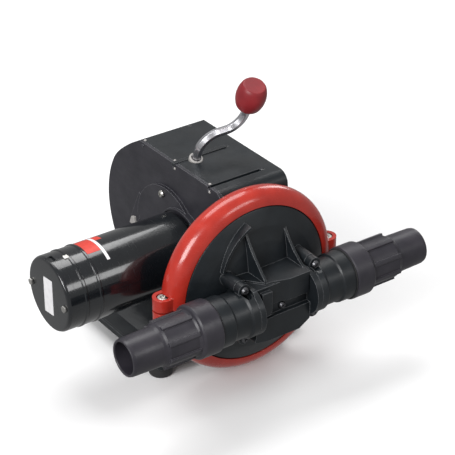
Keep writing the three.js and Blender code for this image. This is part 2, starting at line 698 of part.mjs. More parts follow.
function connectingRod() {
  const centre = WHEEL_Y - THROW;
  const bigEnd = cylinder("x", ECCENTRIC_R + 6, -ROD_HALF, ROD_HALF, centre, 0, 28);
  const beam = prism("x", [[PIN_Y + 9, -8], [centre, -13], [centre, 13], [PIN_Y + 9, 8]], -ROD_HALF + 1, ROD_HALF - 1);
  const smallEnd = prism("x", roundedSlot(PIN_Y, SLOT_HALF_Y + WALL, SLOT_HALF_Z + WALL), -ROD_HALF, ROD_HALF);
  const slot = prism("x", roundedSlot(PIN_Y, SLOT_HALF_Y, SLOT_HALF_Z), -10, 10);
  const bore = cylinder("x", ECCENTRIC_R + GAP, -10, 10, centre, 0, 28);
  const pocket = [[PIN_Y + 18, -4.5], [centre - 24, -7], [centre - 24, 7], [PIN_Y + 18, 4.5]];
  const lighten = [-1, 1].map((side) => prism("x", pocket, side > 0 ? 2 : -8, side > 0 ? 8 : -2));
  return cut(union(bigEnd, beam, smallEnd), slot, bore, ...lighten);
}

function diaphragm() {
  return revolve("y", [
    [4.6, -7.2],
    [46, -7.2],
    [53, -3.8],
    [64, 1],
    [75, -1.5],
    [89.6, -1.5],
    [89.6, 0.6],
    [75, 0.6],
    [64, 3.2],
    [52, -1.5],
    [45, -4.8],
    [4.6, -4.8],
  ], 0, 0, 32);
}

function frontPlate() {
  return revolve("y", [
    [4.3, -10.6],
    [12, -10.6],
    [40, -10],
    [PLATE_R, -8.6],
    [PLATE_R, -7.5],
    [4.3, -7.5],
  ], 0, 0, 32);
}

function rearPlate() {
  const disc = ring("y", 4.3, PLATE_R - 3, -4.5, -2, 0, 0, 32);
  const ear = (x) => union(
    box(x, x + 3, -3, PIN_Y, -5.5, 5.5),
    cylinder("x", 5.5, x, x + 3, PIN_Y, 0, 12)
  );
  const holes = cylinder("x", PIN_R + GAP, -20, 20, PIN_Y, 0, 12);
  return union(disc, cut(union(ear(-9.5)), holes), cut(union(ear(6.5)), holes));
}

function diaphragmScrew() {
  const body = revolve("y", [[0, -14], [7, -14], [7.5, -13.4], [7.5, -10.9], [4, -10.9], [4, -2.3], [0, -2.3]], 0, 0, 12);
  return cut(body, prism("y", circle(0, 0, 3.4, 6), -15, -11.5));
}

add("connecting_rod", connectingRod(), "nylon");
add("diaphragm", diaphragm(), "rubber");
add("diaphragm_plate_front", frontPlate(), "nylon");
add("diaphragm_plate_rear", rearPlate(), "nylon");
add("diaphragm_screw", diaphragmScrew(), "steel");
add("clevis_pin", cylinder("x", PIN_R, -10.4, 10.4, PIN_Y, 0, 12), "bright");

// ---------------------------------------------------------------- pump body, cover and clamp ring
function pumpBody() {
  return revolve("y", [
    [18, 10.6],
    [73, 10.6],
    [77.5, 7],
    [77.5, 0.9],
    [FLANGE_R, 0.9],
    [FLANGE_R, 5.5],
    [85.6, 11.5],
    [80.9, 11.9],
    [80.4, 14.2],
    [18, 14.2],
  ], 0, 0, 36);
}

const CHEST_FRONT = -60;
const ROOF_Z = 26;

// The valve chest: a block with a sloped roof above, a dark gap, and a lower block.
function chest() {
  const core = box(-PORT_INNER + GAP, PORT_INNER - GAP, -57, -18, -24, 24);
  const brow = [[-17, -54], [-8, -55.5], [0, -58], [7, CHEST_FRONT], [29.5, CHEST_FRONT], [33, -22]];
  const roof = prism("z", [[-42, -22], ...brow], 10, ROOF_Z);
  const hood = prism("z", [[-22, -22], ...brow], 3, 12);
  const tongue = union(
    box(-26, -15, CHEST_FRONT - 1.2, -50, 0, 22),
    cylinder("y", 5.5, CHEST_FRONT - 1.2, -50, -20.5, 0, 14)
  );
  const lower = prism("y", [
    [-34, -31],
    [-20, -33.5],
    [18, -33.5],
    [30, -26],
    [32, -8],
    [-10, -8],
    [-30, -10],
  ], CHEST_FRONT - 0.5, -18);
  return union(core, roof, hood, tongue, lower);
}

function domeOuter() {
  return [
    [0, -29.5],
    [30, -28],
    [50, -25],
    [64, -21],
    [74, -17],
    [80.4, -14],
    [80.9, -11.9],
    [85.6, -11.5],
    [FLANGE_R, -5.5],
    [FLANGE_R, -1.8],
    [0, -1.8],
  ];
}

function pumpCover() {
  const dome = revolve("y", domeOuter(), 0, 0, 36);
  const roomInside = revolve("y", [[0, -25.5], [30, -24.4], [50, -21.4], [64, -17.4], [73, -13.5], [76.5, -9], [76.5, 0], [0, 0]], 0, 0, 24);
  const bracket = (x, points) => prism("x", points, x - 1.3, x + 1.3);
  const middleRib = bracket(-17, [[-20, 66], [-27, 58], [-33, 47.5], [-42, 38], [-53.5, 28], [-50, 22], [-18, 22]]);
  const rightRib = bracket(29, [[-19, 60], [-26, 50], [-32, 41], [-40, 33.5], [-52, 26], [-50, 22], [-18, 22]]);
  const arcOuter = circle(12, 18, 61, 6, 2.02, 2.9);
  const arcInner = circle(12, 18, 58.4, 6, 2.9, 2.02);
  const leftRib = prism("y", [...arcOuter, ...arcInner], -27, -16);
  const bosses = [-1, 1].flatMap((side) =>
    [-1, 1].map((up) => cylinder("y", 7, -45, -14, side * PORT_SCREW_X, up * PORT_SCREW_Z, 14))
  );
  const screwWays = [-1, 1].flatMap((side) =>
    [-1, 1].map((up) => cylinder("y", 2.5, -70, -31, side * PORT_SCREW_X, up * PORT_SCREW_Z, 8))
  );
  const ways = [box(-50, -6, -54, -27, -12, 12), box(6, 50, -54, -27, -12, 12)];
  const chamberWays = [box(-30, -6, -40, -16, -12, 12), box(6, 30, -40, -16, -12, 12)];
  const earRooms = [-1, 1].flatMap((side) =>
    [-1, 1].map((up) => cylinder("y", 7.2, -70, -45, side * PORT_SCREW_X, up * PORT_SCREW_Z, 14))
  );
  const screwWay = cylinder("y", 2.5, -70, -40, 0, -2.5, 8);
  const portPads = [-1, 1].map((side) => {
    const ends = [side * PORT_PAD_AT, side * (PORT_INNER - GAP)].sort((a, b) => a - b);
    return cylinder("x", PORT_FLANGE_R, ...ends, PORT_Y, 0, 20);
  });
  const outside = union(dome, chest(), middleRib, rightRib, leftRib, ...bosses, ...portPads);
  const portSeats = [-1, 1].map((side) =>
    cylinder("x", 25.6, side > 0 ? PORT_INNER - GAP : -60, side > 0 ? 60 : -PORT_INNER + GAP, PORT_Y, 0, 32)
  );
  const gapFront = box(-14, PORT_PAD_AT, -70, -55.5, -8, 3);
  return cut(outside, roomInside, gapFront, ...portSeats, ...earRooms, ...ways, ...chamberWays, ...screwWays, screwWay);
}

// A pan-head screw along +Y, its head at the front.
function frontScrew(face, length, x, z, headR = 4) {
  const body = revolve("y", [
    [0, face - 3],
    [headR - 1.6, face - 3],
    [headR, face - 1.8],
    [headR, face - GAP],
    [2.2, face - GAP],
    [2.2, face + length],
    [0, face + length],
  ], x, z, 12);
  const slot = box(x - 0.5, x + 0.5, face - 4, face - 2, z - 3, z + 3);
  return cut(body, slot);
}

// Half of the two-part clamp: a half-round band with a groove inside and a lug at each end.
function clampHalf(up) {
  const profile = [];
  for (let i = 0; i <= 8; i++) {
    const t = -Math.PI / 2 + (Math.PI * i) / 8;
    profile.push([82 + (RING_R - 82) * Math.cos(t), RING_HALF * Math.sin(t)]);
  }
  profile.push([RING_LIP_R, 14.2], [RING_LIP_R, 12.4], [86.5, 12.2], [90.8, 6], [90.8, -6], [86.5, -12.2], [RING_LIP_R, -12.4]);
  profile.push([RING_LIP_R, -14.2]);
  const band = revolve("y", profile, 0, 0, 36);
  const half = up > 0 ? box(-130, 130, -20, 20, 1, 130) : box(-130, 130, -20, 20, -130, -1);
  const keep = band.intersect(half);
  const low = up > 0 ? 1 : LUG_BOTTOM;
  const high = up > 0 ? LUG_TOP : -1;
  const clear = revolve("y", [
    [0, -12.4],
    [RING_LIP_R, -12.4],
    [86.5, -12.2],
    [90.8, -6],
    [90.8, 6],
    [86.5, 12.2],
    [RING_LIP_R, 12.4],
    [0, 12.4],
  ], 0, 0, 36);
  const lugs = [-1, 1].map((side) => union(
    cylinder("z", LUG_R, low, high, side * LUG_X, 0, 20),
    box(Math.min(side * 84, side * LUG_X), Math.max(side * 84, side * LUG_X), -LUG_R, LUG_R, low, high)
  ));
  const inside = revolve("y", [[0, -20], [RING_LIP_R, -20], [RING_LIP_R, 20], [0, 20]], 0, 0, 36);
  const ways = [-1, 1].map((side) => cylinder("z", 3.3, low - 4, high + 1, side * LUG_X, 0, 10));
  const counterbores = up > 0
    ? [-1, 1].map((side) => cylinder("z", 6.2, LUG_TOP - 4.5, LUG_TOP + 1, side * LUG_X, 0, 14))
    : [];
  return cut(union(keep, ...lugs), clear, inside, ...ways, ...counterbores);
}

function clampScrew(side) {
  const seat = LUG_TOP - 4.5 + GAP;
  const body = revolve("z", [
    [0, LUG_BOTTOM - 2],
    [2.9, LUG_BOTTOM - 2],
    [2.9, seat],
    [5.4, seat],
    [5.4, seat + 2.6],
    [4.4, seat + 3.6],
    [0, seat + 3.6],
  ], side * LUG_X, 0, 14);
  return cut(body, prism("z", circle(side * LUG_X, 0, 2.6, 6), seat + 1.4, seat + 6));
}

add("pump_body", pumpBody(), "black");
add("pump_cover", pumpCover(), "black");
add("cover_screw", frontScrew(-55.5, 12, 0, -2.5, 3.6), "steel");
add("clamp_ring_upper", clampHalf(1), "red");
add("clamp_ring_lower", clampHalf(-1), "red");
add("clamp_screw_left", clampScrew(-1), "steel");
add("clamp_screw_right", clampScrew(1), "steel");

// ---------------------------------------------------------------- ports, seals, adapters and flap valves
// Profile [radius, distance from the middle] turned about the port axis, on the side given.
function onPort(side, profile, segments = 24) {
  return revolve("x", profile.map(([r, t]) => [r, side * t]), PORT_Y, 0, segments);
}

function portBody(side) {
  const tube = onPort(side, [
    [PORT_BORE, PORT_INNER],
    [PORT_FLANGE_R, PORT_INNER],
    [PORT_FLANGE_R, PORT_INNER + 7],
    [22.8, PORT_INNER + 9],
    [22.8, 62],
    [24.6, 63.5],
    [24.6, PORT_OUTER],
    [PORT_BORE, PORT_OUTER],
  ]);
  const ears = [-1, 1].map((up) => {
    const x = side * PORT_SCREW_X;
    const z = up * PORT_SCREW_Z;
    const web = box(x - 4.5, x + 4.5, -52.5, -45.3, Math.min(z, up * 18), Math.max(z, up * 18));
    return union(cylinder("y", 6.5, -52.5, -45.3, x, z, 14), web);
  });
  const hollow = onPort(side, [[0, PORT_INNER - 5], [PORT_BORE, PORT_INNER - 5], [PORT_BORE, 90], [0, 90]]);
  const ways = [-1, 1].map((up) => cylinder("y", 2.5, -70, -30, side * PORT_SCREW_X, up * PORT_SCREW_Z, 8));
  const spots = [-1, 1].map((up) => cylinder("y", 5, -80, -52.5, side * PORT_SCREW_X, up * PORT_SCREW_Z, 12));
  return cut(union(tube, ...ears), hollow, ...ways, ...spots);
}

function portSeal(side) {
  return onPort(side, [[PORT_BORE + 1, PORT_OUTER + GAP], [25.6, PORT_OUTER + GAP], [25.6, 78], [PORT_BORE + 1, 78]]);
}

// The hose adapter holds the valve seat. `outward` tells which way its flap swings.
function hoseAdapter(side, outward) {
  const seatBack = SEAT_AT + SEAT_THICK;
  const outer = [
    [26, 78.3],
    [26.6, 79.2],
    [26.6, 98],
    [25.6, 99.6],
    [23.2, 100.6],
    [21.6, 102.5],
    [21.6, 134],
    [20, 136],
    [MOUTH_R + 0.6, 138],
    [MOUTH_R, 168],
    [MOUTH_R - 0.6, MOUTH_AT],
    [MOUTH_BORE + 0.6, MOUTH_AT],
    [MOUTH_BORE, MOUTH_AT - 0.8],
  ];
  const bore = outward
    ? [[MOUTH_BORE, 136], [18.9, 130], [18.9, seatBack], [13, seatBack], [13, SEAT_AT], [19, SEAT_AT], [19, 78.3]]
    : [[MOUTH_BORE, seatBack], [13, seatBack], [13, SEAT_AT], [19, SEAT_AT], [19, 78.3]];
  const shell = onPort(side, [...outer, ...bore]);
  const ribs = Array.from({ length: ADAPTER_RIBS }, (_, i) => {
    const t = (i * 2 * Math.PI) / ADAPTER_RIBS;
    const geometry = new THREE.BoxGeometry(33, 2.6, 4.6);
    geometry.translate(side * 118, 22.2, 0);
    geometry.rotateX(t + 0.3);
    geometry.translate(0, PORT_Y, 0);
    return solid(geometry);
  });
  const lugFrom = outward ? seatBack - 1 : SEAT_AT + 1;
  const lugTo = outward ? seatBack + 4 : SEAT_AT - 4;
  const pinAt = outward ? seatBack + 2 : SEAT_AT - 2;
  const lugs = [-1, 1].map((way) => {
    const y = PORT_Y + way * 5.4;
    const a = side * Math.min(lugFrom, lugTo);
    const b = side * Math.max(lugFrom, lugTo);
    const block = box(Math.min(a, b), Math.max(a, b), y - 1, y + 1, 14, 19.4);
    return cut(block, cylinder("y", 1.5, y - 3, y + 3, side * pinAt, FLAP_PIN_Z - 1, 8));
  });
  return union(shell, ...ribs, ...lugs);
}

function flap(side, outward) {
  const near = outward ? SEAT_AT + SEAT_THICK + GAP : SEAT_AT - GAP - FLAP_THICK;
  const pinAt = outward ? SEAT_AT + SEAT_THICK + 2 : SEAT_AT - 2;
  const disc = onPort(side, [[0, near], [FLAP_R, near], [FLAP_R, near + FLAP_THICK], [0, near + FLAP_THICK]], 24);
  const trim = box(-200, 200, PORT_Y - 20, PORT_Y + 20, 13, 30);
  const z = FLAP_PIN_Z - 1;
  const x = side * pinAt;
  const thick = side * (near + FLAP_THICK);
  const tab = box(Math.min(side * near, thick), Math.max(side * near, thick), PORT_Y - 3.6, PORT_Y + 3.6, 10, z);
  const barrel = cylinder("y", 1.6, PORT_Y - 3.9, PORT_Y + 3.9, x, z, 8);
  const trunnion = cylinder("y", 1.15, PORT_Y - 6.3, PORT_Y + 6.3, x, z, 8);
  return union(cut(disc, trim), tab, barrel, trunnion);
}

for (const [place, side, outward] of [["inlet", -1, false], ["outlet", 1, true]]) {
  add("port_body_" + place, portBody(side), "black");
  add("port_seal_" + place, portSeal(side), "rubber");
  add("hose_adapter_" + place, hoseAdapter(side, outward), "charcoal");
  add("flap_" + place, flap(side, outward), "rubber");
  for (const [level, up] of [["top", 1], ["bottom", -1]]) {
    const screw = frontScrew(-52.5, 18, side * PORT_SCREW_X, up * PORT_SCREW_Z);
    add("port_screw_" + place + "_" + level, screw, "steel");
  }
}

// ---------------------------------------------------------------- stand the group on its base
const bounds = new THREE.Box3().setFromObject(group);
group.position.set(-(bounds.min.x + bounds.max.x) / 2, -(bounds.min.y + bounds.max.y) / 2, -bounds.min.z);

export default group;
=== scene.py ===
import json
import math

import bmesh
import bpy
from mathutils import Matrix, Vector


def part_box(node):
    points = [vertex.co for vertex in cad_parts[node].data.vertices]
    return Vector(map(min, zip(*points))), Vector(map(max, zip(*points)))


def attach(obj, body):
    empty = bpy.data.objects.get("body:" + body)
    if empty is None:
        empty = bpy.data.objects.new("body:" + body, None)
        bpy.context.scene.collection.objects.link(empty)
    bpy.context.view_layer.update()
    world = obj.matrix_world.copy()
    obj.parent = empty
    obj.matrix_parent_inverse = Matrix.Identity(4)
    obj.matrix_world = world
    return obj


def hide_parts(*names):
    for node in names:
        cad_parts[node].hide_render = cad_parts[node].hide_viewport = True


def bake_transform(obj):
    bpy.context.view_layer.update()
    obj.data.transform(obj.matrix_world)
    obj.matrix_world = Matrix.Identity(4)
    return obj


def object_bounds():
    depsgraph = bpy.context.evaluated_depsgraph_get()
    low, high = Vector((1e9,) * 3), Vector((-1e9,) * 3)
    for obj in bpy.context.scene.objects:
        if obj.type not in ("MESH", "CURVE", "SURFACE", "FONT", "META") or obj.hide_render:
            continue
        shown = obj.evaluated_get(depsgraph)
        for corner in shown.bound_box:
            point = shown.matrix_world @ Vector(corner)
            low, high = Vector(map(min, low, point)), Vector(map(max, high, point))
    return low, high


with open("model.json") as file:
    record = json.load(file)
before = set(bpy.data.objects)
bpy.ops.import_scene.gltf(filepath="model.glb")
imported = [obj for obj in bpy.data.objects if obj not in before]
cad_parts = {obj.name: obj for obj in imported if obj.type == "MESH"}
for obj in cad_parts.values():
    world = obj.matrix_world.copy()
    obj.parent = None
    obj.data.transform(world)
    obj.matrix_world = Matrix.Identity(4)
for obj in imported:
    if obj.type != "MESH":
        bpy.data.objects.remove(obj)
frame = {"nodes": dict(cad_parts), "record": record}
CAD_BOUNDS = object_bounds()
MM = 0.001

# ---------------------------------------------------------------- frame of the pump
# Everything is drawn in millimetres from the centre of the clamp ring, as in the CAD source.
upper_low, upper_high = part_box("clamp_ring_upper")
lower_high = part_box("clamp_ring_lower")[1]
CENTRE = Vector((
    (upper_low.x + upper_high.x) / 2,
    (upper_low.y + upper_high.y) / 2,
    (upper_low.z + lower_high.z) / 2,
))


def at(x, y, z):
    """Millimetres from the ring's centre to metres in the row frame."""
    return CENTRE + Vector((x, y, z)) * MM


# ---------------------------------------------------------------- dimensions, in millimetres
RING_R = 96.3
RING_LIP = 81.4
RING_HALF = 14.2
LUG_X = 96.5
LUG_R = 10
LUG_TOP = 13.6
LUG_LOW = -15
PORT_Y = -48.4
PORT_IN = 36.3
SCREW_X = 41
SCREW_Z = 26
CENTRE_SCREW_Z = -2.5
EAR_FACE = -52.5
EAR_BACK = -45.3
BORE = 17.5
FINS = 8
GLAND_Y = 176
GLAND_Z = -40
CASE_LEFT = -18.7
CASE_RIGHT = 59.1
CASE_TOP = 88.5
CASE_FRONT = 14.5
CASE_FOOT = -79.7
DRUM_Y = 128
DRUM_R = 92
MOTOR_Y = 77.8
MOTOR_Z = 4.2
MOTOR_R = 38
BOLT_OFFSET = 30.5
FILM = 0.12
CRANK_AT = (3.1, 89.3, CASE_TOP)
CRANK_LEAN = math.atan2(DRUM_Y - CRANK_AT[1], CASE_TOP)
FLOOR = -104


# ---------------------------------------------------------------- mesh helpers
def arc(u, v, r, start, end, count):
    """Points on an arc in degrees, both ends included."""
    out = []
    for i in range(count + 1):
        t = math.radians(start + (end - start) * i / count)
        out.append((u + r * math.cos(t), v + r * math.sin(t)))
    return out


def rounded(points, radius, steps=4, closed=True):
    """A polygon with its corners rounded; a third number on a point is that corner's own radius."""
    out = []
    n = len(points)
    for i, p in enumerate(points):
        r = p[2] if len(p) > 2 else radius
        here = Vector(p[:2])
        if r <= 0 or (not closed and i in (0, n - 1)):
            out.append(tuple(here))
            continue
        a = Vector(points[i - 1][:2]) - here
        b = Vector(points[(i + 1) % n][:2]) - here
        if a.length < 1e-9 or b.length < 1e-9:
            out.append(tuple(here))
            continue
        half = a.angle(b) / 2
        if half > math.radians(88):
            out.append(tuple(here))
            continue
        reach = min(r / math.tan(half), a.length * 0.45, b.length * 0.45)
        start = here + a.normalized() * reach
        end = here + b.normalized() * reach
        for k in range(steps + 1):
            t = k / steps
            out.append(tuple(start * (1 - t) ** 2 + here * 2 * t * (1 - t) + end * t * t))
    return out


def curved(points, steps=10):
    """A smooth curve pulled towards its middle point."""
    a, b, c = (Vector(p) for p in points)
    out = []
    for i in range(steps + 1):
        t = i / steps
        out.append(tuple(a * (1 - t) ** 2 + b * 2 * t * (1 - t) + c * t * t))
    return out


def place(axis, u, v, w):
    """(u, v) across and w along an axis, to x, y, z."""
    if axis == "x":
        return (w, u, v)
    if axis == "y":
        return (u, w, v)
    return (u, v, w)


def to_object(name, bm):
    bmesh.ops.remove_doubles(bm, verts=bm.verts, dist=2e-7)
    bmesh.ops.recalc_face_normals(bm, faces=bm.faces)
    if bm.calc_volume(signed=True) < 0:
        bmesh.ops.reverse_faces(bm, faces=bm.faces)
    mesh = bpy.data.meshes.new(name)
    bm.to_mesh(mesh)
    bm.free()
    obj = bpy.data.objects.new(name, mesh)
    bpy.context.scene.collection.objects.link(obj)
    return obj


def lathe(name, profile, axis="x", u=0, v=0, segments=96):
    """Profile (radius, along), closed or ending on the axis, turned about an axis through (u, v)."""
    bm = bmesh.new()
    rings = []
    for r, w in profile:
        if r < 1e-6:
            rings.append([bm.verts.new(at(*place(axis, u, v, w)))])
            continue
        ring = []
        for i in range(segments):
            t = 2 * math.pi * i / segments
            ring.append(bm.verts.new(at(*place(axis, u + r * math.cos(t), v + r * math.sin(t), w))))
        rings.append(ring)
    n = len(rings)
    on_axis = len(rings[0]) == 1
    for k in range(n - 1 if on_axis else n):
        a, b = rings[k], rings[(k + 1) % n]
        for i in range(segments):
            j = (i + 1) % segments
            quad = [a[i % len(a)], a[j % len(a)], b[j % len(b)], b[i % len(b)]]
            face = list(dict.fromkeys(quad))
            if len(face) > 2:
                bm.faces.new(face)
    return to_object(name, bm)


def prism(name, axis, points, low, high):
    """A polygon swept from low to high along an axis."""
    bm = bmesh.new()
    ends = [[bm.verts.new(at(*place(axis, p[0], p[1], w))) for p in points] for w in (low, high)]
    n = len(points)
    bm.faces.new(ends[0])
    bm.faces.new(list(reversed(ends[1])))
    for i in range(n):
        j = (i + 1) % n
        bm.faces.new([ends[0][i], ends[1][i], ends[1][j], ends[0][j]])
    return to_object(name, bm)


def box(name, x0, x1, y0, y1, z0, z1, r=0.0):
    """A block whose four upright edges are rounded; bevel() softens the rest."""
    corners = [(x0, y0), (x1, y0), (x1, y1), (x0, y1)]
    return prism(name, "z", rounded(corners, r, 4) if r else corners, z0, z1)


def cylinder(name, axis, r, low, high, u, v, segments=48, soft=0.0):
    profile = [(0, low), (r, low), (r, high), (0, high)]
    if soft:
        profile = [(0, low)] + [(r - soft, low), (r - soft * 0.3, low + soft * 0.3), (r, low + soft)]
        profile += [(r, high - soft), (r - soft * 0.3, high - soft * 0.3), (r - soft, high), (0, high)]
    return lathe(name, profile, axis, u, v, segments)


def apply_modifiers(obj):
    graph = bpy.context.evaluated_depsgraph_get()
    mesh = bpy.data.meshes.new_from_object(obj.evaluated_get(graph))
    old = obj.data
    obj.modifiers.clear()
    obj.data = mesh
    bpy.data.meshes.remove(old)
    return obj


def boolean(obj, others, operation):
    for other in others:
        mod = obj.modifiers.new("join", "BOOLEAN")
        mod.operation = operation
        mod.solver = "EXACT"
        mod.object = other
        apply_modifiers(obj)
        mesh = other.data
        bpy.data.objects.remove(other)
        bpy.data.meshes.remove(mesh)
    return obj


def add(obj, *others):
    return boolean(obj, others, "UNION")


def cut(obj, *others):
    return boolean(obj, others, "DIFFERENCE")


def keep(obj, *others):
    return boolean(obj, others, "INTERSECT")


def bevel(obj, width, segments=3, angle=32):
    bm = bmesh.new()
    bm.from_mesh(obj.data)
    bmesh.ops.remove_doubles(bm, verts=bm.verts, dist=4e-6)
    bmesh.ops.dissolve_degenerate(bm, edges=bm.edges, dist=2e-6)
    bm.to_mesh(obj.data)
    bm.free()
    mod = obj.modifiers.new("soften", "BEVEL")
    mod.width = width * MM
    mod.segments = segments
    mod.limit_method = "ANGLE"
    mod.angle_limit = math.radians(angle)
    mod.use_clamp_overlap = True
    return apply_modifiers(obj)


def smooth(obj, angle=34):
    mesh = obj.data
    mesh.shade_smooth()
    mesh.set_sharp_from_angle(angle=math.radians(angle))
    return obj


def about(obj, matrix):
    """Moves a mesh's points by a matrix given in millimetres about the ring's centre."""
    move = Matrix.Translation(CENTRE) @ Matrix.Scale(MM, 4) @ matrix @ Matrix.Scale(1 / MM, 4)
    obj.data.transform(move @ Matrix.Translation(-CENTRE))
    return obj


def piece(obj, material, body, slot, *nodes, sharp=34):
    smooth(obj, sharp)
    weigh = obj.modifiers.new("flat_faces", "WEIGHTED_NORMAL")
    weigh.keep_sharp = True
    obj.data.materials.clear()
    obj.data.materials.append(material)
    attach(obj, body)
    if nodes:
        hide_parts(*nodes)
    return obj


# ---------------------------------------------------------------- materials
class Graph:
    """A short way to write a shader's nodes."""

    def __init__(self, name):
        self.material = bpy.data.materials.new(name)
        self.material.use_nodes = True
        self.tree = self.material.node_tree
        self.shader = self.tree.nodes["Principled BSDF"]
        self.where = self.new("ShaderNodeTexCoord").outputs["Object"]

    def new(self, kind):
        return self.tree.nodes.new(kind)

    def link(self, a, b):
        self.tree.links.new(a, b)

    def noise(self, scale, detail=4.0, rough=0.55, stretch=None):
        node = self.new("ShaderNodeTexNoise")
        node.inputs["Scale"].default_value = scale
        node.inputs["Detail"].default_value = detail
        node.inputs["Roughness"].default_value = rough
        source = self.where
        if stretch:
            mapping = self.new("ShaderNodeMapping")
            mapping.inputs["Scale"].default_value = stretch
            self.link(self.where, mapping.inputs["Vector"])
            source = mapping.outputs["Vector"]
        self.link(source, node.inputs["Vector"])
        return node.outputs["Fac"]

    def spread(self, value, low, high, to_low=0.0, to_high=1.0):
        node = self.new("ShaderNodeMapRange")
        node.clamp = True
        node.inputs["From Min"].default_value = low
        node.inputs["From Max"].default_value = high
        node.inputs["To Min"].default_value = to_low
        node.inputs["To Max"].default_value = to_high
        self.link(value, node.inputs["Value"])
        return node.outputs["Result"]

    def math(self, operation, a, b):
        node = self.new("ShaderNodeMath")
        node.operation = operation
        for socket, value in zip(node.inputs, (a, b)):
            if isinstance(value, (int, float)):
                socket.default_value = value
            else:
                self.link(value, socket)
        return node.outputs["Value"]

    def mix(self, amount, a, b):
        node = self.new("ShaderNodeMix")
        node.data_type = "RGBA"
        self.link(amount, node.inputs["Factor"])
        for socket, value in ((node.inputs[6], a), (node.inputs[7], b)):
            if isinstance(value, tuple):
                socket.default_value = (*value, 1)
            else:
                self.link(value, socket)
        return node.outputs[2]

    def edges(self, radius, low=0.75, high=0.995):
        """A mask that is 1 on sharp edges and 0 on flats, and the softened normal."""
        soft = self.new("ShaderNodeBevel")
        soft.samples = 4
        soft.inputs["Radius"].default_value = radius * MM
        flat = self.new("ShaderNodeNewGeometry")
        dot = self.new("ShaderNodeVectorMath")
        dot.operation = "DOT_PRODUCT"
        self.link(soft.outputs["Normal"], dot.inputs[0])
        self.link(flat.outputs["Normal"], dot.inputs[1])
        return self.spread(dot.outputs["Value"], high, low), soft.outputs["Normal"]

    def bump(self, height, distance, strength=1.0, normal=None):
        node = self.new("ShaderNodeBump")
        node.inputs["Strength"].default_value = strength
        node.inputs["Distance"].default_value = distance * MM
        self.link(height, node.inputs["Height"])
        if normal:
            self.link(normal, node.inputs["Normal"])
        return node.outputs["Normal"]


def moulded(name, base, shade, rough, grain=0.035, wear_and_highlight=(0.2, 0.2, 0.21), wear_and_highlight_amount=0.35, coat=0.0,
            grain_scale=900, dusty=0.16):
    """Injection-moulded plastic: spark-eroded grain, mottled colour, edges lightened partly by rubbed wear
    and partly as a painted highlight, handling marks.
    """
    g = Graph(name)
    mottle = g.spread(g.noise(45, 5), 0.36, 0.66)
    colour = g.mix(mottle, shade, base)
    # Edges are mixed towards a pale colour: partly rubbed wear, partly a painted highlight along edges and
    # seams.
    edge, soft_normal = g.edges(0.7)
    edge_breakup = g.spread(g.noise(260, 6, 0.7), 0.3, 0.7, 0.45, 1.0)
    rubbed_and_highlit = g.math("MULTIPLY", g.math("MULTIPLY", edge, edge_breakup), wear_and_highlight_amount)
    colour = g.mix(rubbed_and_highlit, colour, wear_and_highlight)
    dust = g.spread(g.noise(14, 6, 0.65), 0.5, 0.78, 0.0, dusty)
    colour = g.mix(dust, colour, tuple(0.6 * c + 0.035 for c in base))
    g.link(colour, g.shader.inputs["Base Color"])
    smear = g.spread(g.noise(30, 5, 0.6, (1, 1, 3)), 0.3, 0.75, rough - 0.09, rough + 0.1)
    fine = g.spread(g.noise(1500, 2), 0.3, 0.7, -0.03, 0.03)
    g.link(g.math("ADD", smear, fine), g.shader.inputs["Roughness"])
    wave = g.bump(g.noise(70, 2), 0.25, 0.5, soft_normal)
    g.link(g.bump(g.noise(grain_scale, 3, 0.6), grain, 1.0, wave), g.shader.inputs["Normal"])
    g.shader.inputs["Specular IOR Level"].default_value = 0.42
    if coat:
        g.shader.inputs["Coat Weight"].default_value = coat
        g.shader.inputs["Coat Roughness"].default_value = 0.12
    return g.material


def enamel(name, base, shade, rough):
    """Sprayed gloss paint on steel: orange peel, dust specks and thin scratches."""
    g = Graph(name)
    colour = g.mix(g.spread(g.noise(30, 4), 0.35, 0.7), shade, base)
    specks = g.spread(g.noise(1900, 1), 0.74, 0.8)
    colour = g.mix(specks, colour, (0.10, 0.10, 0.11))
    g.link(colour, g.shader.inputs["Base Color"])
    scratch = g.spread(g.noise(60, 3, 0.5, (12, 1, 1)), 0.62, 0.68, 0.0, 0.1)
    haze = g.spread(g.noise(22, 5), 0.3, 0.75, rough, rough + 0.1)
    g.link(g.math("ADD", haze, scratch), g.shader.inputs["Roughness"])
    soft_normal = g.edges(0.6)[1]
    peel = g.bump(g.noise(260, 2, 0.4), 0.05, 0.6, soft_normal)
    g.link(peel, g.shader.inputs["Normal"])
    g.shader.inputs["Coat Weight"].default_value = 0.6
    g.shader.inputs["Coat Roughness"].default_value = 0.06
    return g.material


def metal(name, base, shade, rough, stretch=(1, 1, 1), brush=0.012, tarnish=(0.25, 0.23, 0.2),
          tarnish_amount=0.2, vary=0.11):
    """Bare or plated metal with brushing along one way, patchy tarnish and small pits."""
    g = Graph(name)
    patch = g.spread(g.noise(90, 6, 0.65), 0.42, 0.72)
    colour = g.mix(patch, base, shade)
    stain = g.spread(g.noise(35, 6, 0.7), 0.55, 0.8, 0.0, tarnish_amount)
    colour = g.mix(stain, colour, tarnish)
    g.link(colour, g.shader.inputs["Base Color"])
    g.shader.inputs["Metallic"].default_value = 1.0
    lines = g.noise(700, 4, 0.6, stretch)
    g.link(g.spread(lines, 0.25, 0.75, rough - 0.7 * vary, rough + 1.3 * vary), g.shader.inputs["Roughness"])
    soft_normal = g.edges(0.4)[1]
    g.link(g.bump(lines, brush, 0.8, soft_normal), g.shader.inputs["Normal"])
    return g.material


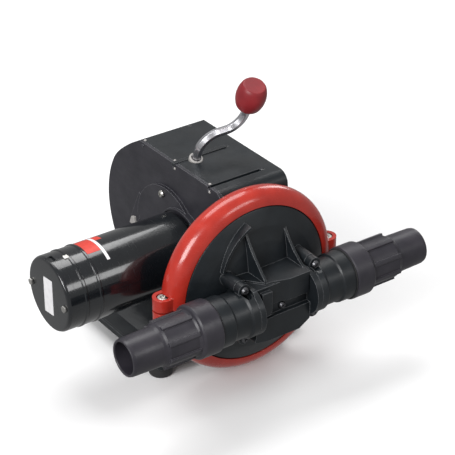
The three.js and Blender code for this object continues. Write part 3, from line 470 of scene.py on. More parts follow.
def rubber(name, base=(0.016, 0.016, 0.017)):
    """Moulded rubber with bloom, dust and a fine leathery grain."""
    g = Graph(name)
    bloom = g.spread(g.noise(60, 6, 0.7), 0.45, 0.75, 0.0, 0.4)
    colour = g.mix(bloom, base, (0.055, 0.054, 0.052))
    g.link(colour, g.shader.inputs["Base Color"])
    g.link(g.spread(g.noise(130, 4), 0.3, 0.7, 0.62, 0.85), g.shader.inputs["Roughness"])
    soft_normal = g.edges(0.8)[1]
    g.link(g.bump(g.noise(1100, 3), 0.06, 0.9, soft_normal), g.shader.inputs["Normal"])
    return g.material


def printed(name, base, shade):
    """Matt printed film: slight fading and fibre texture."""
    g = Graph(name)
    colour = g.mix(g.spread(g.noise(150, 5, 0.6), 0.35, 0.7), base, shade)
    g.link(colour, g.shader.inputs["Base Color"])
    g.link(g.spread(g.noise(300, 3), 0.3, 0.7, 0.38, 0.55), g.shader.inputs["Roughness"])
    g.link(g.bump(g.noise(1300, 2), 0.02, 0.6), g.shader.inputs["Normal"])
    return g.material


# The pale edge colours given below are partly rubbed wear and partly a painted highlight along edges and
# seams.
BLACK = moulded("black_nylon", (0.0095, 0.0125, 0.0155), (0.006, 0.008, 0.010), 0.40,
                wear_and_highlight=(0.34, 0.35, 0.37), wear_and_highlight_amount=0.75)
CHARCOAL = moulded("charcoal_nylon", (0.027, 0.026, 0.033), (0.018, 0.0175, 0.023), 0.46,
                   wear_and_highlight=(0.36, 0.36, 0.39), wear_and_highlight_amount=0.7)
ADAPTER = moulded("adapter_nylon", (0.032, 0.029, 0.037), (0.021, 0.0195, 0.026), 0.40,
                  wear_and_highlight=(0.34, 0.33, 0.37))
RED = moulded("red_nylon", (0.46, 0.030, 0.018), (0.37, 0.021, 0.013), 0.25, grain=0.010,
              wear_and_highlight=(0.75, 0.2, 0.13), wear_and_highlight_amount=0.25, coat=0.4, grain_scale=500, dusty=0.05)
CRIMSON = moulded("crimson_plastic", (0.27, 0.020, 0.025), (0.20, 0.013, 0.018), 0.42, grain=0.04,
                  wear_and_highlight=(0.5, 0.12, 0.13), wear_and_highlight_amount=0.3, dusty=0.08)
ENAMEL = enamel("black_enamel", (0.008, 0.010, 0.012), (0.005, 0.006, 0.008), 0.14)
RUBBER = rubber("black_rubber")
PLATED = metal("zinc_plated", (0.62, 0.61, 0.58), (0.48, 0.47, 0.45), 0.3)
BRIGHT = metal("bright_steel", (0.64, 0.64, 0.67), (0.56, 0.56, 0.59), 0.3, (1, 1, 0.3), 0.002,
               tarnish_amount=0.1, vary=0.03)
# Dark grey steel, darker than the plated steel, used for the port screws and the cover screw.
DARK_SCREW = metal("dark_grey_steel", (0.17, 0.17, 0.18), (0.11, 0.11, 0.12), 0.34)
GEAR_STEEL = metal("turned_steel", (0.45, 0.45, 0.46), (0.34, 0.34, 0.35), 0.32, (6, 1, 1))
BRASS = metal("turned_brass", (0.62, 0.42, 0.16), (0.50, 0.33, 0.12), 0.3, (6, 1, 1),
              tarnish=(0.2, 0.14, 0.07))
COPPER = metal("enamelled_copper", (0.60, 0.25, 0.11), (0.45, 0.16, 0.07), 0.34, (1, 6, 6), 0.06)
FERRITE = moulded("ferrite", (0.045, 0.045, 0.048), (0.03, 0.03, 0.032), 0.62, 0.05)
NATURAL = moulded("natural_nylon", (0.66, 0.62, 0.50), (0.55, 0.51, 0.40), 0.42, 0.02, (0.8, 0.78, 0.7), 0.3)
PALE = moulded("pale_acetal", (0.40, 0.385, 0.37), (0.30, 0.285, 0.275), 0.45, 0.02, (0.7, 0.7, 0.68), 0.5)
WHITE_FILM = printed("white_film", (0.86, 0.85, 0.86), (0.74, 0.73, 0.75))
RED_FILM = printed("red_film", (0.68, 0.05, 0.03), (0.55, 0.035, 0.022))

BY_SLOT = {
    "black_plastic": BLACK,
    "charcoal_plastic": CHARCOAL,
    "black_enamel": ENAMEL,
    "red_plastic": RED,
    "crimson_plastic": CRIMSON,
    "rubber": RUBBER,
    "plated_steel": PLATED,
    "bright_steel": BRIGHT,
    "nylon": NATURAL,
    "pale_plastic": PALE,
    "brass": BRASS,
    "copper": COPPER,
    "magnet": FERRITE,
}
for entry in frame["record"]["subparts"]:
    node = frame["nodes"][entry["node"]]
    node.data.materials.clear()
    node.data.materials.append(BY_SLOT[entry["material_slot"]])
for name in ("main_shaft", "crank_socket", "armature_core", "main_bearing_left", "main_bearing_right"):
    frame["nodes"][name].data.materials[0] = GEAR_STEEL


# ---------------------------------------------------------------- clamp ring
GROOVE_HALF = 12.4
GROOVE = [(RING_LIP, -GROOVE_HALF), (86.5, -12.2), (90.8, -6), (90.8, 6), (86.5, 12.2),
          (RING_LIP, GROOVE_HALF)]


def half_round():
    """Section of the clamp band: half-round outside, grooved inside."""
    outside = [(82 + (RING_R - 82) * math.cos(math.radians(t)), RING_HALF * math.sin(math.radians(t)))
               for t in range(-90, 91, 6)]
    inside = [(RING_LIP, RING_HALF)] + list(reversed(GROOVE)) + [(RING_LIP, -RING_HALF)]
    return outside + inside


def clamp_half(name, up):
    band = lathe(name, half_round(), "y", 0, 0, 192)
    low, high = (1, LUG_TOP) if up else (LUG_LOW, -1)
    side = box("side", -130, 130, -20, 20, 1, 130) if up else box("side", -130, 130, -20, 20, -130, -1)
    keep(band, side)
    lugs = []
    for way in (-1, 1):
        lug = cylinder("lug", "z", LUG_R, low, high, way * LUG_X, 0, 64)
        x0, x1 = sorted((way * 86, way * LUG_X))
        add(lug, box("web", x0, x1, -LUG_R, LUG_R, low, high))
        cut(lug, lathe("groove", [(0, -GROOVE_HALF)] + GROOVE + [(0, GROOVE_HALF)], "y", 0, 0, 192))
        lugs.append(lug)
    add(band, *lugs)
    for way in (-1, 1):
        cut(band, cylinder("way", "z", 3.3, low - 4, high + 1, way * LUG_X, 0, 32))
        if up:
            cut(band, cylinder("seat", "z", 6.2, LUG_TOP - 4.5, LUG_TOP + 1, way * LUG_X, 0, 48))
    return bevel(band, 0.7, 3, 40)


piece(clamp_half("clamp_band_upper", True), RED, "pump", "red_plastic", "clamp_ring_upper")
piece(clamp_half("clamp_band_lower", False), RED, "pump", "red_plastic", "clamp_ring_lower")


def socket_screw(name, side):
    seat = LUG_TOP - 4.2
    tip = LUG_LOW - 2
    crown = seat + 3.6
    outline = [(2.2, tip, 0), (2.9, LUG_LOW - 1.2, 0), (2.9, seat, 0), (5.4, seat), (5.4, crown), (3, crown)]
    profile = [(0, tip)] + rounded(outline, 0.7, 4, False) + [(0, crown)]
    screw = lathe(name, profile, "z", side * LUG_X, 0, 48)
    cut(screw, prism("key", "z", arc(side * LUG_X, 0, 2.6, 0, 300, 5), seat + 1.4, seat + 6))
    return screw


piece(socket_screw("clamp_bolt_left", -1), PLATED, "pump", "plated_steel", "clamp_screw_left")
piece(socket_screw("clamp_bolt_right", 1), PLATED, "pump", "plated_steel", "clamp_screw_right")


# ---------------------------------------------------------------- pump body and cover
def body_disc():
    profile = [(18, 10.6), (73, 10.6, 2), (77.5, 7), (77.5, 0.9), (90, 0.9), (90, 5.5), (85.6, 11.5),
               (80.9, 11.9), (80.4, 14.2), (18, 14.2)]
    return lathe("rear_housing", rounded(profile, 0.5, 3), "y", 0, 0, 160)


piece(body_disc(), BLACK, "pump", "black_plastic", "pump_body")

PORT_SCREWS = [(side * SCREW_X, up * SCREW_Z) for side in (-1, 1) for up in (-1, 1)]


def rib(name, x, points, half):
    return prism(name, "x", points, x - half, x + half)


def head_cover():
    face = [(30, -28, 20), (50, -25, 20), (64, -21, 20), (74, -17, 8), (80.4, -14, 1.5), (80.9, -11.9, 0.3),
            (85.6, -11.5, 0.5), (90, -5.5), (90, -1.8)]
    profile = [(0, -29.5)] + rounded(face, 0.6, 5, False) + [(0, -1.8)]
    dome = lathe("pump_head", profile, "y", 0, 0, 192)
    core = prism("core", "y", rounded([(-36, -24), (36, -24), (36, 24), (-36, 24)], 3), -57, -18)
    brow = [(-17, -54, 1), (-8, -55.5, 8), (6.5, -60, 7), (29.5, -60, 1.2), (33, -22, 0)]
    roof = prism("roof", "z", rounded([(-42, -22, 0)] + brow, 1, 8), 10, 26)
    hood = prism("hood", "z", rounded([(-22, -22, 0)] + brow, 1, 8), 3, 12)
    tongue_end = arc(-20.5, 0, 5.5, 180, 360, 20)
    tongue = prism("tongue", "y", rounded([(-15, 20), (-26, 20)], 2, 4, False) + tongue_end, -61.2, -50)
    block = [(-34, -31), (-20, -33.5), (18, -33.5), (30, -26), (32, -8), (-10, -8), (-30, -10)]
    lower = prism("lower", "y", rounded(block, 2, 5), -60.5, -18)
    step = [(-52, -36), (-30, -40), (14, -40), (26, -30), (-20, -26)]
    low_step = prism("low_step", "y", rounded(step, 3, 5), -40, -18)
    left_edge = curved([(-20, 68), (-33, 46), (-53.5, 28)])
    right_edge = curved([(-19, 60), (-31, 38), (-52, 26)])
    tail = [(-50, 22), (-18, 22)]
    arc_out = arc(12, 18, 61, 116, 166, 24)
    arc_in = arc(12, 18, 58.4, 166, 116, 24)
    add(dome, core, roof, hood, tongue, lower, low_step)
    add(dome, rib("rib_a", -17, left_edge + tail, 1.3), rib("rib_b", 29, right_edge + tail, 1.3))
    add(dome, prism("rib_c", "y", arc_out + arc_in, -27, -16))
    for x, z in PORT_SCREWS:
        add(dome, cylinder("boss", "y", 7, -45, -14, x, z, 48))
    for side in (-1, 1):
        x0, x1 = sorted((side * 30, side * 36))
        add(dome, cylinder("pad", "x", 25, x0, x1, PORT_Y, 0, 96))
    hollow = [(0, -25.5), (30, -24.4), (50, -21.4), (64, -17.4), (73, -13.5), (76.5, -9), (76.5, 0), (0, 0)]
    inside = lathe("room", hollow, "y", 0, 0, 96)
    cut(dome, inside, box("gap", -14, 30, -70, -55.5, -8, 3))
    for side in (-1, 1):
        x0, x1 = sorted((side * 36, side * 60))
        cut(dome, cylinder("seat", "x", 25.6, x0, x1, PORT_Y, 0, 96))
        x0, x1 = sorted((side * 6, side * 50))
        cut(dome, box("way", x0, x1, -54, -27, -12, 12))
        x0, x1 = sorted((side * 6, side * 30))
        cut(dome, box("chamber_way", x0, x1, -40, -16, -12, 12))
    for x, z in PORT_SCREWS:
        cut(dome, cylinder("ear_room", "y", 7.2, -70, -45, x, z, 48))
        cut(dome, cylinder("hole", "y", 2.5, -70, -31, x, z, 24))
    cut(dome, cylinder("hole", "y", 2.5, -70, -40, 0, CENTRE_SCREW_Z, 24))
    return bevel(dome, 0.55, 3, 38)


piece(head_cover(), BLACK, "pump", "black_plastic", "pump_cover")


def pan_screw(name, axis, face, length, u, v, r=4.0, turn=0.0):
    """A pan-head screw with a cross recess; the head stands towards the low end of the axis."""
    outline = [(r - 1.2, face - 3, 1.4), (r, face - 1.4, 0.8), (r, face - 0.3, 0.2), (2, face - 0.3, 0),
               (2, face + length, 0.4)]
    profile = [(0, face - 3)] + rounded(outline, 0.5, 5, False) + [(0, face + length)]
    screw = lathe(name, profile, axis, u, v, 48)
    for angle in (turn, turn + 90):
        c, s = math.cos(math.radians(angle)), math.sin(math.radians(angle))
        half, wide = r * 0.62, r * 0.15
        corners = [(u + a * half * c - b * wide * s, v + a * half * s + b * wide * c)
                   for a, b in ((-1, -1), (1, -1), (1, 1), (-1, 1))]
        cut(screw, prism("cross", axis, corners, face - 4, face - 1.5))
    return screw


for label, side in (("inlet", -1), ("outlet", 1)):
    for level, up in (("top", 1), ("bottom", -1)):
        screw = pan_screw(f"port_bolt_{label}_{level}", "y", EAR_FACE, 18, side * SCREW_X, up * SCREW_Z,
                          turn=20 * side + 13 * up)
        piece(screw, DARK_SCREW, "pump", "plated_steel", f"port_screw_{label}_{level}")
centre_bolt = pan_screw("centre_bolt", "y", -55.5, 12, 0, CENTRE_SCREW_Z, 3.6, 33)
piece(centre_bolt, DARK_SCREW, "pump", "plated_steel", "cover_screw")


# ---------------------------------------------------------------- diaphragm
def dense(points, step=1.5):
    """Points added along a profile, about one for every step millimetres."""
    out = []
    for a, b in zip(points, points[1:] + points[:1]):
        count = max(1, round((Vector(b) - Vector(a)).length / step))
        out += [tuple(Vector(a).lerp(Vector(b), k / count)) for k in range(count)]
    return out


SHEET = [(4.6, -7.2), (46, -7.2, 6), (53, -3.8, 8), (64, 1, 8), (75, -1.5, 6), (89.6, -1.5),
         (89.6, 0.6), (75, 0.6, 6), (64, 3.2, 8), (52, -1.5, 8), (45, -4.8, 6), (4.6, -4.8)]
membrane = lathe("membrane", dense(rounded(SHEET, 0.3, 5)), "y", 0, 0, 128)
smooth(membrane)
membrane.data.materials.append(RUBBER)
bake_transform(membrane)
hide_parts("diaphragm")


# ---------------------------------------------------------------- ports
def on_port(name, side, profile, segments=96):
    return lathe(name, [(r, side * t) for r, t in profile], "x", PORT_Y, 0, segments)


def port_body(name, side):
    wall = [(BORE, PORT_IN), (25, PORT_IN), (25, PORT_IN + 7, 1.2), (22.8, PORT_IN + 9, 2), (22.8, 62, 2),
            (24.6, 63.5, 1), (24.6, 77, 0.8), (BORE, 77)]
    tube = on_port(name, side, rounded(wall, 0.4, 4))
    x = side * SCREW_X
    for up in (-1, 1):
        z = up * SCREW_Z
        ear = cylinder("ear", "y", 6.5, EAR_FACE, EAR_BACK, x, z, 48)
        z0, z1 = sorted((z, up * 18))
        add(ear, box("web", x - 4.5, x + 4.5, EAR_FACE, EAR_BACK, z0, z1))
        add(tube, ear)
    cut(tube, on_port("bore", side, [(0, 20), (BORE, 20), (BORE, 90), (0, 90)]))
    for up in (-1, 1):
        cut(tube, cylinder("hole", "y", 2.5, -70, -30, x, up * SCREW_Z, 24))
        cut(tube, cylinder("spot", "y", 5, -80, EAR_FACE, x, up * SCREW_Z, 48))
    return bevel(tube, 0.4, 2, 40)


def port_seal(name, side):
    return on_port(name, side, rounded([(18.5, 77.3), (25.6, 77.3), (25.6, 78), (18.5, 78)], 0.3, 3))


def adapter(name, side, outward):
    outer = [(26, 78.3, 0.4), (26.6, 79.2, 0.5), (26.6, 98, 1.2), (25.4, 99.8, 1), (23.2, 100.8, 1),
             (21.6, 102.6, 1), (21.6, 133.6, 1.2), (20, 136, 1.5), (19.1, 138.4, 2), (18.5, 168, 4),
             (17.8, 171, 0.8), (16.1, 171, 0.5), (15.5, 170.2, 0.6)]
    if outward:
        bore = [(15.5, 136, 1), (18.9, 130, 1), (18.9, 100), (13, 100), (13, 97), (19, 97), (19, 78.3)]
    else:
        bore = [(15.5, 100), (13, 100), (13, 97), (19, 97), (19, 78.3)]
    shell = on_port(name, side, rounded(outer + bore, 0.2, 4), 128)
    root, tip = PORT_Y + 20.6, PORT_Y + 23.5
    low, high = sorted((side * 101.5, side * 134.6))
    to_port = Matrix.Translation((0, PORT_Y, 0))
    for i in range(FINS):
        t = 2 * math.pi * i / FINS + 0.3
        section = [(root, -2.3), (tip, -2.3), (tip, 2.3), (root, 2.3)]
        fin = prism("fin", "x", rounded(section, 0.8, 3), low, high)
        add(shell, about(fin, to_port @ Matrix.Rotation(t, 4, "X") @ to_port.inverted()))
    start = 99 if outward else 98
    end = 104 if outward else 93
    pin = 102 if outward else 95
    for way in (-1, 1):
        y = PORT_Y + way * 5.4
        x0, x1 = sorted((side * start, side * end))
        lug = box("lug", x0, x1, y - 1, y + 1, 14, 19.2)
        cut(lug, cylinder("pin", "y", 1.5, y - 3, y + 3, side * pin, 16.2, 24))
        add(shell, lug)
    return bevel(shell, 0.35, 2, 45)


for label, side, outward in (("inlet", -1, False), ("outlet", 1, True)):
    piece(port_body(f"port_{label}", side), BLACK, "pump", "black_plastic", f"port_body_{label}")
    piece(port_seal(f"seal_{label}", side), RUBBER, "pump", "rubber", f"port_seal_{label}")
    fitting = adapter(f"adapter_{label}", side, outward)
    piece(fitting, ADAPTER, "pump", "charcoal_plastic", f"hose_adapter_{label}")


# ---------------------------------------------------------------- gear case
def case_outline(inset, top_inset):
    top = CASE_TOP - top_inset
    front = CASE_FRONT + inset
    low = CASE_FOOT + inset
    r = DRUM_R - inset
    rise = math.degrees(math.asin(51.2 / DRUM_R))
    fall = math.degrees(math.asin(low / r))
    drum = arc(DRUM_Y, 0, r, fall, rise, 48)
    shoulder = curved([drum[-1], (DRUM_Y + 68.4 - inset, top - 26.2), (DRUM_Y + 43 - inset, top - 9)], 8)
    brow = arc(front + 12, top - 12, 12, 90, 180, 16)
    return [(front, low)] + drum + shoulder[1:] + [(DRUM_Y + 28.3 - inset, top)] + brow


def groove_tools():
    low, high = CASE_TOP - 3, CASE_TOP + 1
    return [box("groove", CASE_LEFT - 1, 42, y - 2.25, y + 2.25, low, high) for y in GROOVES_AT]


def on_crank(name, profile, segments=64):
    turned = lathe(name, profile, "z", 0, 0, segments)
    return about(turned, CRANK_PLACE)


CRANK_PLACE = Matrix.Translation(CRANK_AT) @ Matrix.Rotation(CRANK_LEAN, 4, "X")
CASE_SCREWS = [(150, -62), (28, -60)]
BOSS_SCREW = (111.5, 49)
GROOVES_AT = (35.6, 95)
TOP_NUBS = ((44.2, 95), (44.2, 35.6), (40, 154))
# Places of pale domes that paint glints of light on the case's top edge and side.
EDGE_GLINTS = ((-14.2, 99.6), (-14.2, 40.2), (-14.2, 152.5))
SIDE_GLINTS = ((93.5, 83.6), (34.6, 83.6))


def gear_case():
    start = CASE_LEFT + 3.3
    shell = prism("case_tub", "x", case_outline(0, 0), start, CASE_RIGHT)
    cut(shell, prism("hollow", "x", case_outline(3, 5.2), start - 1, CASE_RIGHT - 3))
    boss = cylinder("boss", "x", 15, 43, 58, DRUM_Y, 0, 64)
    web = box("web", 48, 58, 40, DRUM_Y + 60, -1.5, 1.5)
    add(boss, web)
    cut(boss, cylinder("pocket", "x", 11.3, 42, 51.3, DRUM_Y, 0, 64))
    tower = on_crank("tower", [(0, -26), (12, -26), (12, -3), (0, -3)])
    keep(tower, box("limit", -40, 50, 40, 140, 0, CASE_TOP - 1))
    add(shell, boss, tower)
    for y, z in CASE_SCREWS:
        add(shell, cylinder("post", "x", 5, start, 58, y, z, 32))
    low, high = CASE_TOP - 1, CASE_TOP + 1
    nub = [(0, low), (1.7, low), (1.7, CASE_TOP + 0.3), (1.2, CASE_TOP + 0.8), (0, high)]
    for x, y in TOP_NUBS:
        add(shell, lathe("nub", nub, "z", x, y, 24))
    cut(shell, on_crank("bore", [(0, -30), (7.8, -30), (7.8, -4.6), (7.3, -4.6), (7.3, 9), (0, 9)]))
    cut(shell, cylinder("rod_way", "y", 20, 13, 19, 0, 0, 64), *groove_tools())
    for y, z in CASE_SCREWS:
        cut(shell, cylinder("hole", "x", 2.3, start - 1, start + 12, y, z, 24))
    return bevel(shell, 0.9, 3, 40)


def gear_case_cover():
    plate = prism("case_side", "x", case_outline(0, 0), CASE_LEFT, CASE_LEFT + 3)
    boss = cylinder("boss", "x", 53, CASE_LEFT - 3.5, CASE_LEFT + 1, 106, 4, 160)
    keep(boss, prism("limit", "x", case_outline(4, 8), CASE_LEFT - 4, CASE_LEFT + 2))
    web = [(152, 26), (160, 28), (170, -2), (162, -6), (156, -2)]
    gusset = prism("gusset", "x", web, CASE_LEFT - 5, CASE_LEFT + 1)
    slope = [(CASE_LEFT - 6, -10), (CASE_LEFT - 5.5, -10), (CASE_LEFT - 0.2, 30), (CASE_LEFT - 6, 30)]
    cut(gusset, prism("slope", "y", slope, 140, 180))
    wall = [(38.6, CASE_LEFT - 6), (40.4, CASE_LEFT - 6), (40.4, CASE_LEFT + 1), (38.6, CASE_LEFT + 1)]
    seat = lathe("motor_seat", rounded(wall, 0.4, 3), "x", MOTOR_Y, MOTOR_Z, 96)
    add(plate, boss, gusset, seat)
    for y, z in ((95, 83.4), (35.6, 83.4), (150, 84.8)):
        add(plate, cylinder("dot", "x", 1.5, CASE_LEFT - 0.9, CASE_LEFT + 1, y, z, 24))
    cut(plate, cylinder("shaft_way", "x", 6, -40, 0, MOTOR_Y, MOTOR_Z, 48))
    cut(plate, cylinder("pocket", "x", 11.3, -20.8, 0, DRUM_Y, 0, 64))
    cut(plate, cylinder("hole", "x", 2.3, -40, CASE_LEFT + 1, *BOSS_SCREW, 24), *groove_tools())
    for y, z in CASE_SCREWS:
        cut(plate, cylinder("hole", "x", 2.3, -40, 0, y, z, 24))
    return bevel(plate, 0.8, 3, 40)


piece(gear_case(), BLACK, "pump", "black_plastic", "gear_case")
piece(gear_case_cover(), CHARCOAL, "pump", "charcoal_plastic", "gear_case_cover")
boss_bolt = pan_screw("boss_bolt", "x", CASE_LEFT - 3.5, 3.6, *BOSS_SCREW, 4, 25)
piece(boss_bolt, PLATED, "pump", "plated_steel", "boss_screw")
for i, (y, z) in enumerate(CASE_SCREWS):
    bolt = pan_screw(f"case_bolt_{i + 1}", "x", CASE_LEFT, 12, y, z, 4, 15 + 40 * i)
    piece(bolt, PLATED, "pump", "plated_steel", f"case_screw_{i + 1}")
bush = on_crank("crank_collar", rounded([(4.9, -4), (7, -4), (7, 2.2, 1), (6.2, 3, 0.8), (4.9, 3)], 0.3, 4))
piece(bush, PALE, "pump", "pale_plastic", "crank_bush")
steps = [(3.6, CASE_LEFT - 12), (3.6, CASE_LEFT - 7.5), (5.5, CASE_LEFT - 7.5), (5.5, CASE_LEFT - 0.3)]
profile = [(0, CASE_LEFT - 12)] + rounded(steps, 0.6, 4, False) + [(0, CASE_LEFT - 0.3)]
gland = lathe("cable_outlet", profile, "x", GLAND_Y, GLAND_Z, 48)
piece(gland, RUBBER, "pump", "rubber", "cable_gland")


def glint_dome(name, axis, r, base, tip, u, v):
    """A small pale dome standing on a face: a painted highlight of light glinting on the case's nubs and
    edges.
    """
    steps = []
    for a in range(0, 90, 15):
        t = math.radians(a)
        steps.append((r * math.cos(t), base + (tip - base) * math.sin(t)))
    return lathe(name, [(0, base)] + steps + [(0, tip)], axis, u, v, 32)


# Pale domes that paint the glints of light on the gear case's nubs, top edge and side dots.
GLINT_DOMES = (
    ("top", "z", 1.9, CASE_TOP - 0.5, CASE_TOP + 0.95, TOP_NUBS),
    ("edge", "z", 1.7, CASE_TOP - 0.5, CASE_TOP + 0.9, EDGE_GLINTS),
    ("side", "x", 1.7, CASE_LEFT + 0.5, CASE_LEFT - 1, SIDE_GLINTS),
)
for label, axis, radius, base, tip, places in GLINT_DOMES:
    for i, (u, v) in enumerate(places):
        piece(glint_dome(f"{label}_stud_{i + 1}", axis, radius, base, tip, u, v), PALE, "pump", "pale_plastic")


def wire_lug():
    """A crimped lug at the foot of the cover's gusset."""
    outline = [(158.5, -8.5), (170.5, -9.5), (166.5, -0.5), (161.5, 0.5)]
    lug = prism("wire_lug", "x", rounded(outline, 1.2, 4), -25.4, -19)
    return bevel(lug, 0.6, 3)


piece(wire_lug(), PALE, "pump", "pale_plastic")


# ---------------------------------------------------------------- motor
def motor_can():
    profile = [(35.8, -152), (38, -152, 0.3), (38, -139.5, 0.4), (38.8, -138.9, 0.4), (38.8, -137, 0.4),
               (38, -136.4, 0.4), (38, -29, 6), (35, -23.6, 5), (31, -22.6, 2), (6.5, -22.6), (6.5, -25),
               (30, -25), (33.6, -27.4), (35.8, -31)]
    return lathe("motor_housing", rounded(profile, 0.3, 6), "x", MOTOR_Y, MOTOR_Z, 160)


def motor_cap():
    outline = [(4.4, -169, 0), (4.4, -160), (9, -160), (9, -170.5), (35, -170.5), (35, -152.3),
               (38.6, -152.3, 0.5), (38.6, -155, 0.4), (37.8, -155.6, 0.3), (37.8, -170.8, 2),
               (36.6, -173.4, 1.8), (34, -174, 2)]
    profile = [(0, -169)] + rounded(outline, 0.3, 5, False) + [(0, -174)]
    cap = lathe("motor_cap", profile, "x", MOTOR_Y, MOTOR_Z, 160)
    notch = box("notch", -176, -166, MOTOR_Y - 5, MOTOR_Y + 5, MOTOR_Z + 35.8, MOTOR_Z + 40)
    cut(cap, notch)
    for side in (-1, 1):
        cut(cap, cylinder("hole", "x", 2.2, -180, -165, MOTOR_Y + side * BOLT_OFFSET, MOTOR_Z, 24))
    return bevel(cap, 0.35, 2, 45)


def through_bolt(name, side):
    y = MOTOR_Y + side * BOLT_OFFSET
    head = prism(name, "x", arc(y, MOTOR_Z, 3.6, 10, 310, 5), -176.6, -174.3)
    bevel(head, 0.3, 2)
    return add(head, cylinder("shank", "x", 1.8, -175, -30, y, MOTOR_Z, 24))


piece(motor_can(), ENAMEL, "pump", "black_enamel", "motor_can")
piece(motor_cap(), ENAMEL, "pump", "black_enamel", "motor_end_cap")
piece(through_bolt("long_bolt_front", -1), PLATED, "pump", "plated_steel", "motor_bolt_front")
piece(through_bolt("long_bolt_rear", 1), PLATED, "pump", "plated_steel", "motor_bolt_rear")


def wrap(name, x0, x1, start, end):
    """A thin film stuck round the motor: angles are counted from the front over the top."""
    bm = bmesh.new()
    r_out = MOTOR_R + FILM
    grid_x, grid_t = 16, 28
    rows = []
    for r in (MOTOR_R + 0.02, r_out):
        row = []
        for i in range(grid_x + 1):
            line = []
            for k in range(grid_t + 1):
                t = math.radians(start + (end - start) * k / grid_t)
                x = x0 + (x1 - x0) * i / grid_x
                line.append(bm.verts.new(at(x, MOTOR_Y - r * math.cos(t), MOTOR_Z + r * math.sin(t))))
            row.append(line)
        rows.append(row)
    for layer, row in enumerate(rows):
        for i in range(grid_x):
            for k in range(grid_t):
                face = [row[i][k], row[i + 1][k], row[i + 1][k + 1], row[i][k + 1]]
                bm.faces.new(face if layer else list(reversed(face)))
    border = [(i, 0) for i in range(grid_x)] + [(grid_x, k) for k in range(grid_t)]
    border += [(i, grid_t) for i in range(grid_x, 0, -1)] + [(0, k) for k in range(grid_t, 0, -1)]
    for a, b in zip(border, border[1:] + border[:1]):
        bm.faces.new([rows[0][a[0]][a[1]], rows[0][b[0]][b[1]], rows[1][b[0]][b[1]], rows[1][a[0]][a[1]]])
    return to_object(name, bm)


def cap_tab():
    """A bright tab that bridges the seam between the can and its cap."""
    outline = [(-158.6, -2.6), (-153.6, -2.6), (-153.6, 2.6), (-158.6, 2.6)]
    tab = prism("cap_tab", "z", rounded(outline, 1), -1, 0.7)
    bevel(tab, 0.35, 3)
    lean = Matrix.Translation((0, MOTOR_Y, MOTOR_Z)) @ Matrix.Rotation(math.radians(8), 4, "X")
    return about(tab, lean @ Matrix.Translation((0, 0, MOTOR_R)))


piece(cap_tab(), PLATED, "pump", "plated_steel")
piece(wrap("motor_band_red", -136, -121.5, 73, 114), RED_FILM, "pump", "red_plastic")
piece(wrap("motor_band_red_far", -118, -111, 97, 114), RED_FILM, "pump", "red_plastic")
piece(wrap("motor_band_white", -121.3, -118.2, 54, 114), WHITE_FILM, "pump", "pale_plastic")
label_outline = [(70, -15.5), (86, -17), (85.4, 21), (69.6, 22.6)]
blank = prism("motor_blank_label", "x", rounded(label_outline, 0.6, 3), -174.25, -173.95)
piece(blank, WHITE_FILM, "pump", "pale_plastic")


# ---------------------------------------------------------------- base plate and feet
BASE_HALF = 86
BASE_FRONT = 25
BASE_BACK = 198
BASE_LOW = -90.5
BASE_TOP = -86
HUMP_FOOT_X = 66
HUMP_X = 49
HUMP_TOP = -80
FOOT_X = 74
STAYS_AT = (-24, 0, 24)
FEET = {
    "front_left": (-FOOT_X, 42),
    "front_right": (FOOT_X, 42),
    "rear_left": (-FOOT_X, 180),
    "rear_right": (FOOT_X, 180),
}


def base_plate():
    corners = [(-BASE_HALF, BASE_FRONT), (BASE_HALF, BASE_FRONT),
               (BASE_HALF, BASE_BACK), (-BASE_HALF, BASE_BACK)]
    plate = prism("mounting_plate", "z", rounded(corners, 10, 10), BASE_LOW, BASE_TOP)
    section = [(-HUMP_FOOT_X, BASE_TOP - 1), (HUMP_FOOT_X, BASE_TOP - 1), (HUMP_FOOT_X, BASE_TOP),
               (HUMP_X, HUMP_TOP), (-HUMP_X, HUMP_TOP), (-HUMP_FOOT_X, BASE_TOP)]
    hump = prism("hump", "y", section, BASE_FRONT + 6, BASE_BACK - 12)
    rims = []
    for side in (-1, 1):
        x0, x1 = sorted((side * BASE_HALF, side * (BASE_HALF - 2.5)))
        rims.append(box("rim", x0, x1, 50, BASE_BACK - 24, BASE_TOP - 1, BASE_TOP + 1.5))
    add(plate, hump, *rims)
    room = [(3 - HUMP_FOOT_X, BASE_LOW - 1), (HUMP_FOOT_X - 3, BASE_LOW - 1), (HUMP_X - 3, HUMP_TOP - 3),
            (3 - HUMP_X, HUMP_TOP - 3)]
    cut(plate, prism("under", "y", room, BASE_FRONT + 9, BASE_BACK - 15))
    for x, y in FEET.values():
        hole = cylinder("hole", "z", 9.4, -92, -80, x, y, 48)
        cut(plate, hole, cylinder("room", "z", 12.4, BASE_TOP, -77, x, y, 48))
    for x in STAYS_AT:
        add(plate, box("stay", x - 1.2, x + 1.2, BASE_FRONT + 8, BASE_BACK - 14, BASE_LOW, HUMP_TOP - 2))
    return bevel(plate, 0.7, 3, 25)


piece(base_plate(), BLACK, "pump", "black_plastic", "base_plate")
FOOT = [(5.3, FLOOR), (11, FLOOR, 0.6), (12, FLOOR + 1, 0.8), (12, -93.5, 1), (10.8, -90.8, 0.6),
        (9, -90.8, 0.3), (9, -85.7, 0.3), (11, -85.7, 0.5), (9.5, -82.4, 0.8), (5.3, -82.4)]
SLEEVE = [(3.3, -103.4), (5, -103.4), (5, -81.4), (3.3, -81.4)]
for label, (x, y) in FEET.items():
    foot = lathe(f"pad_{label}", rounded(FOOT, 0.4, 4), "z", x, y, 64)
    piece(foot, RUBBER, "pump", "rubber", f"foot_{label}")
    sleeve = lathe(f"spacer_{label}", rounded(SLEEVE, 0.35, 3), "z", x, y, 48)
    piece(sleeve, PLATED, "pump", "plated_steel", f"foot_sleeve_{label}")


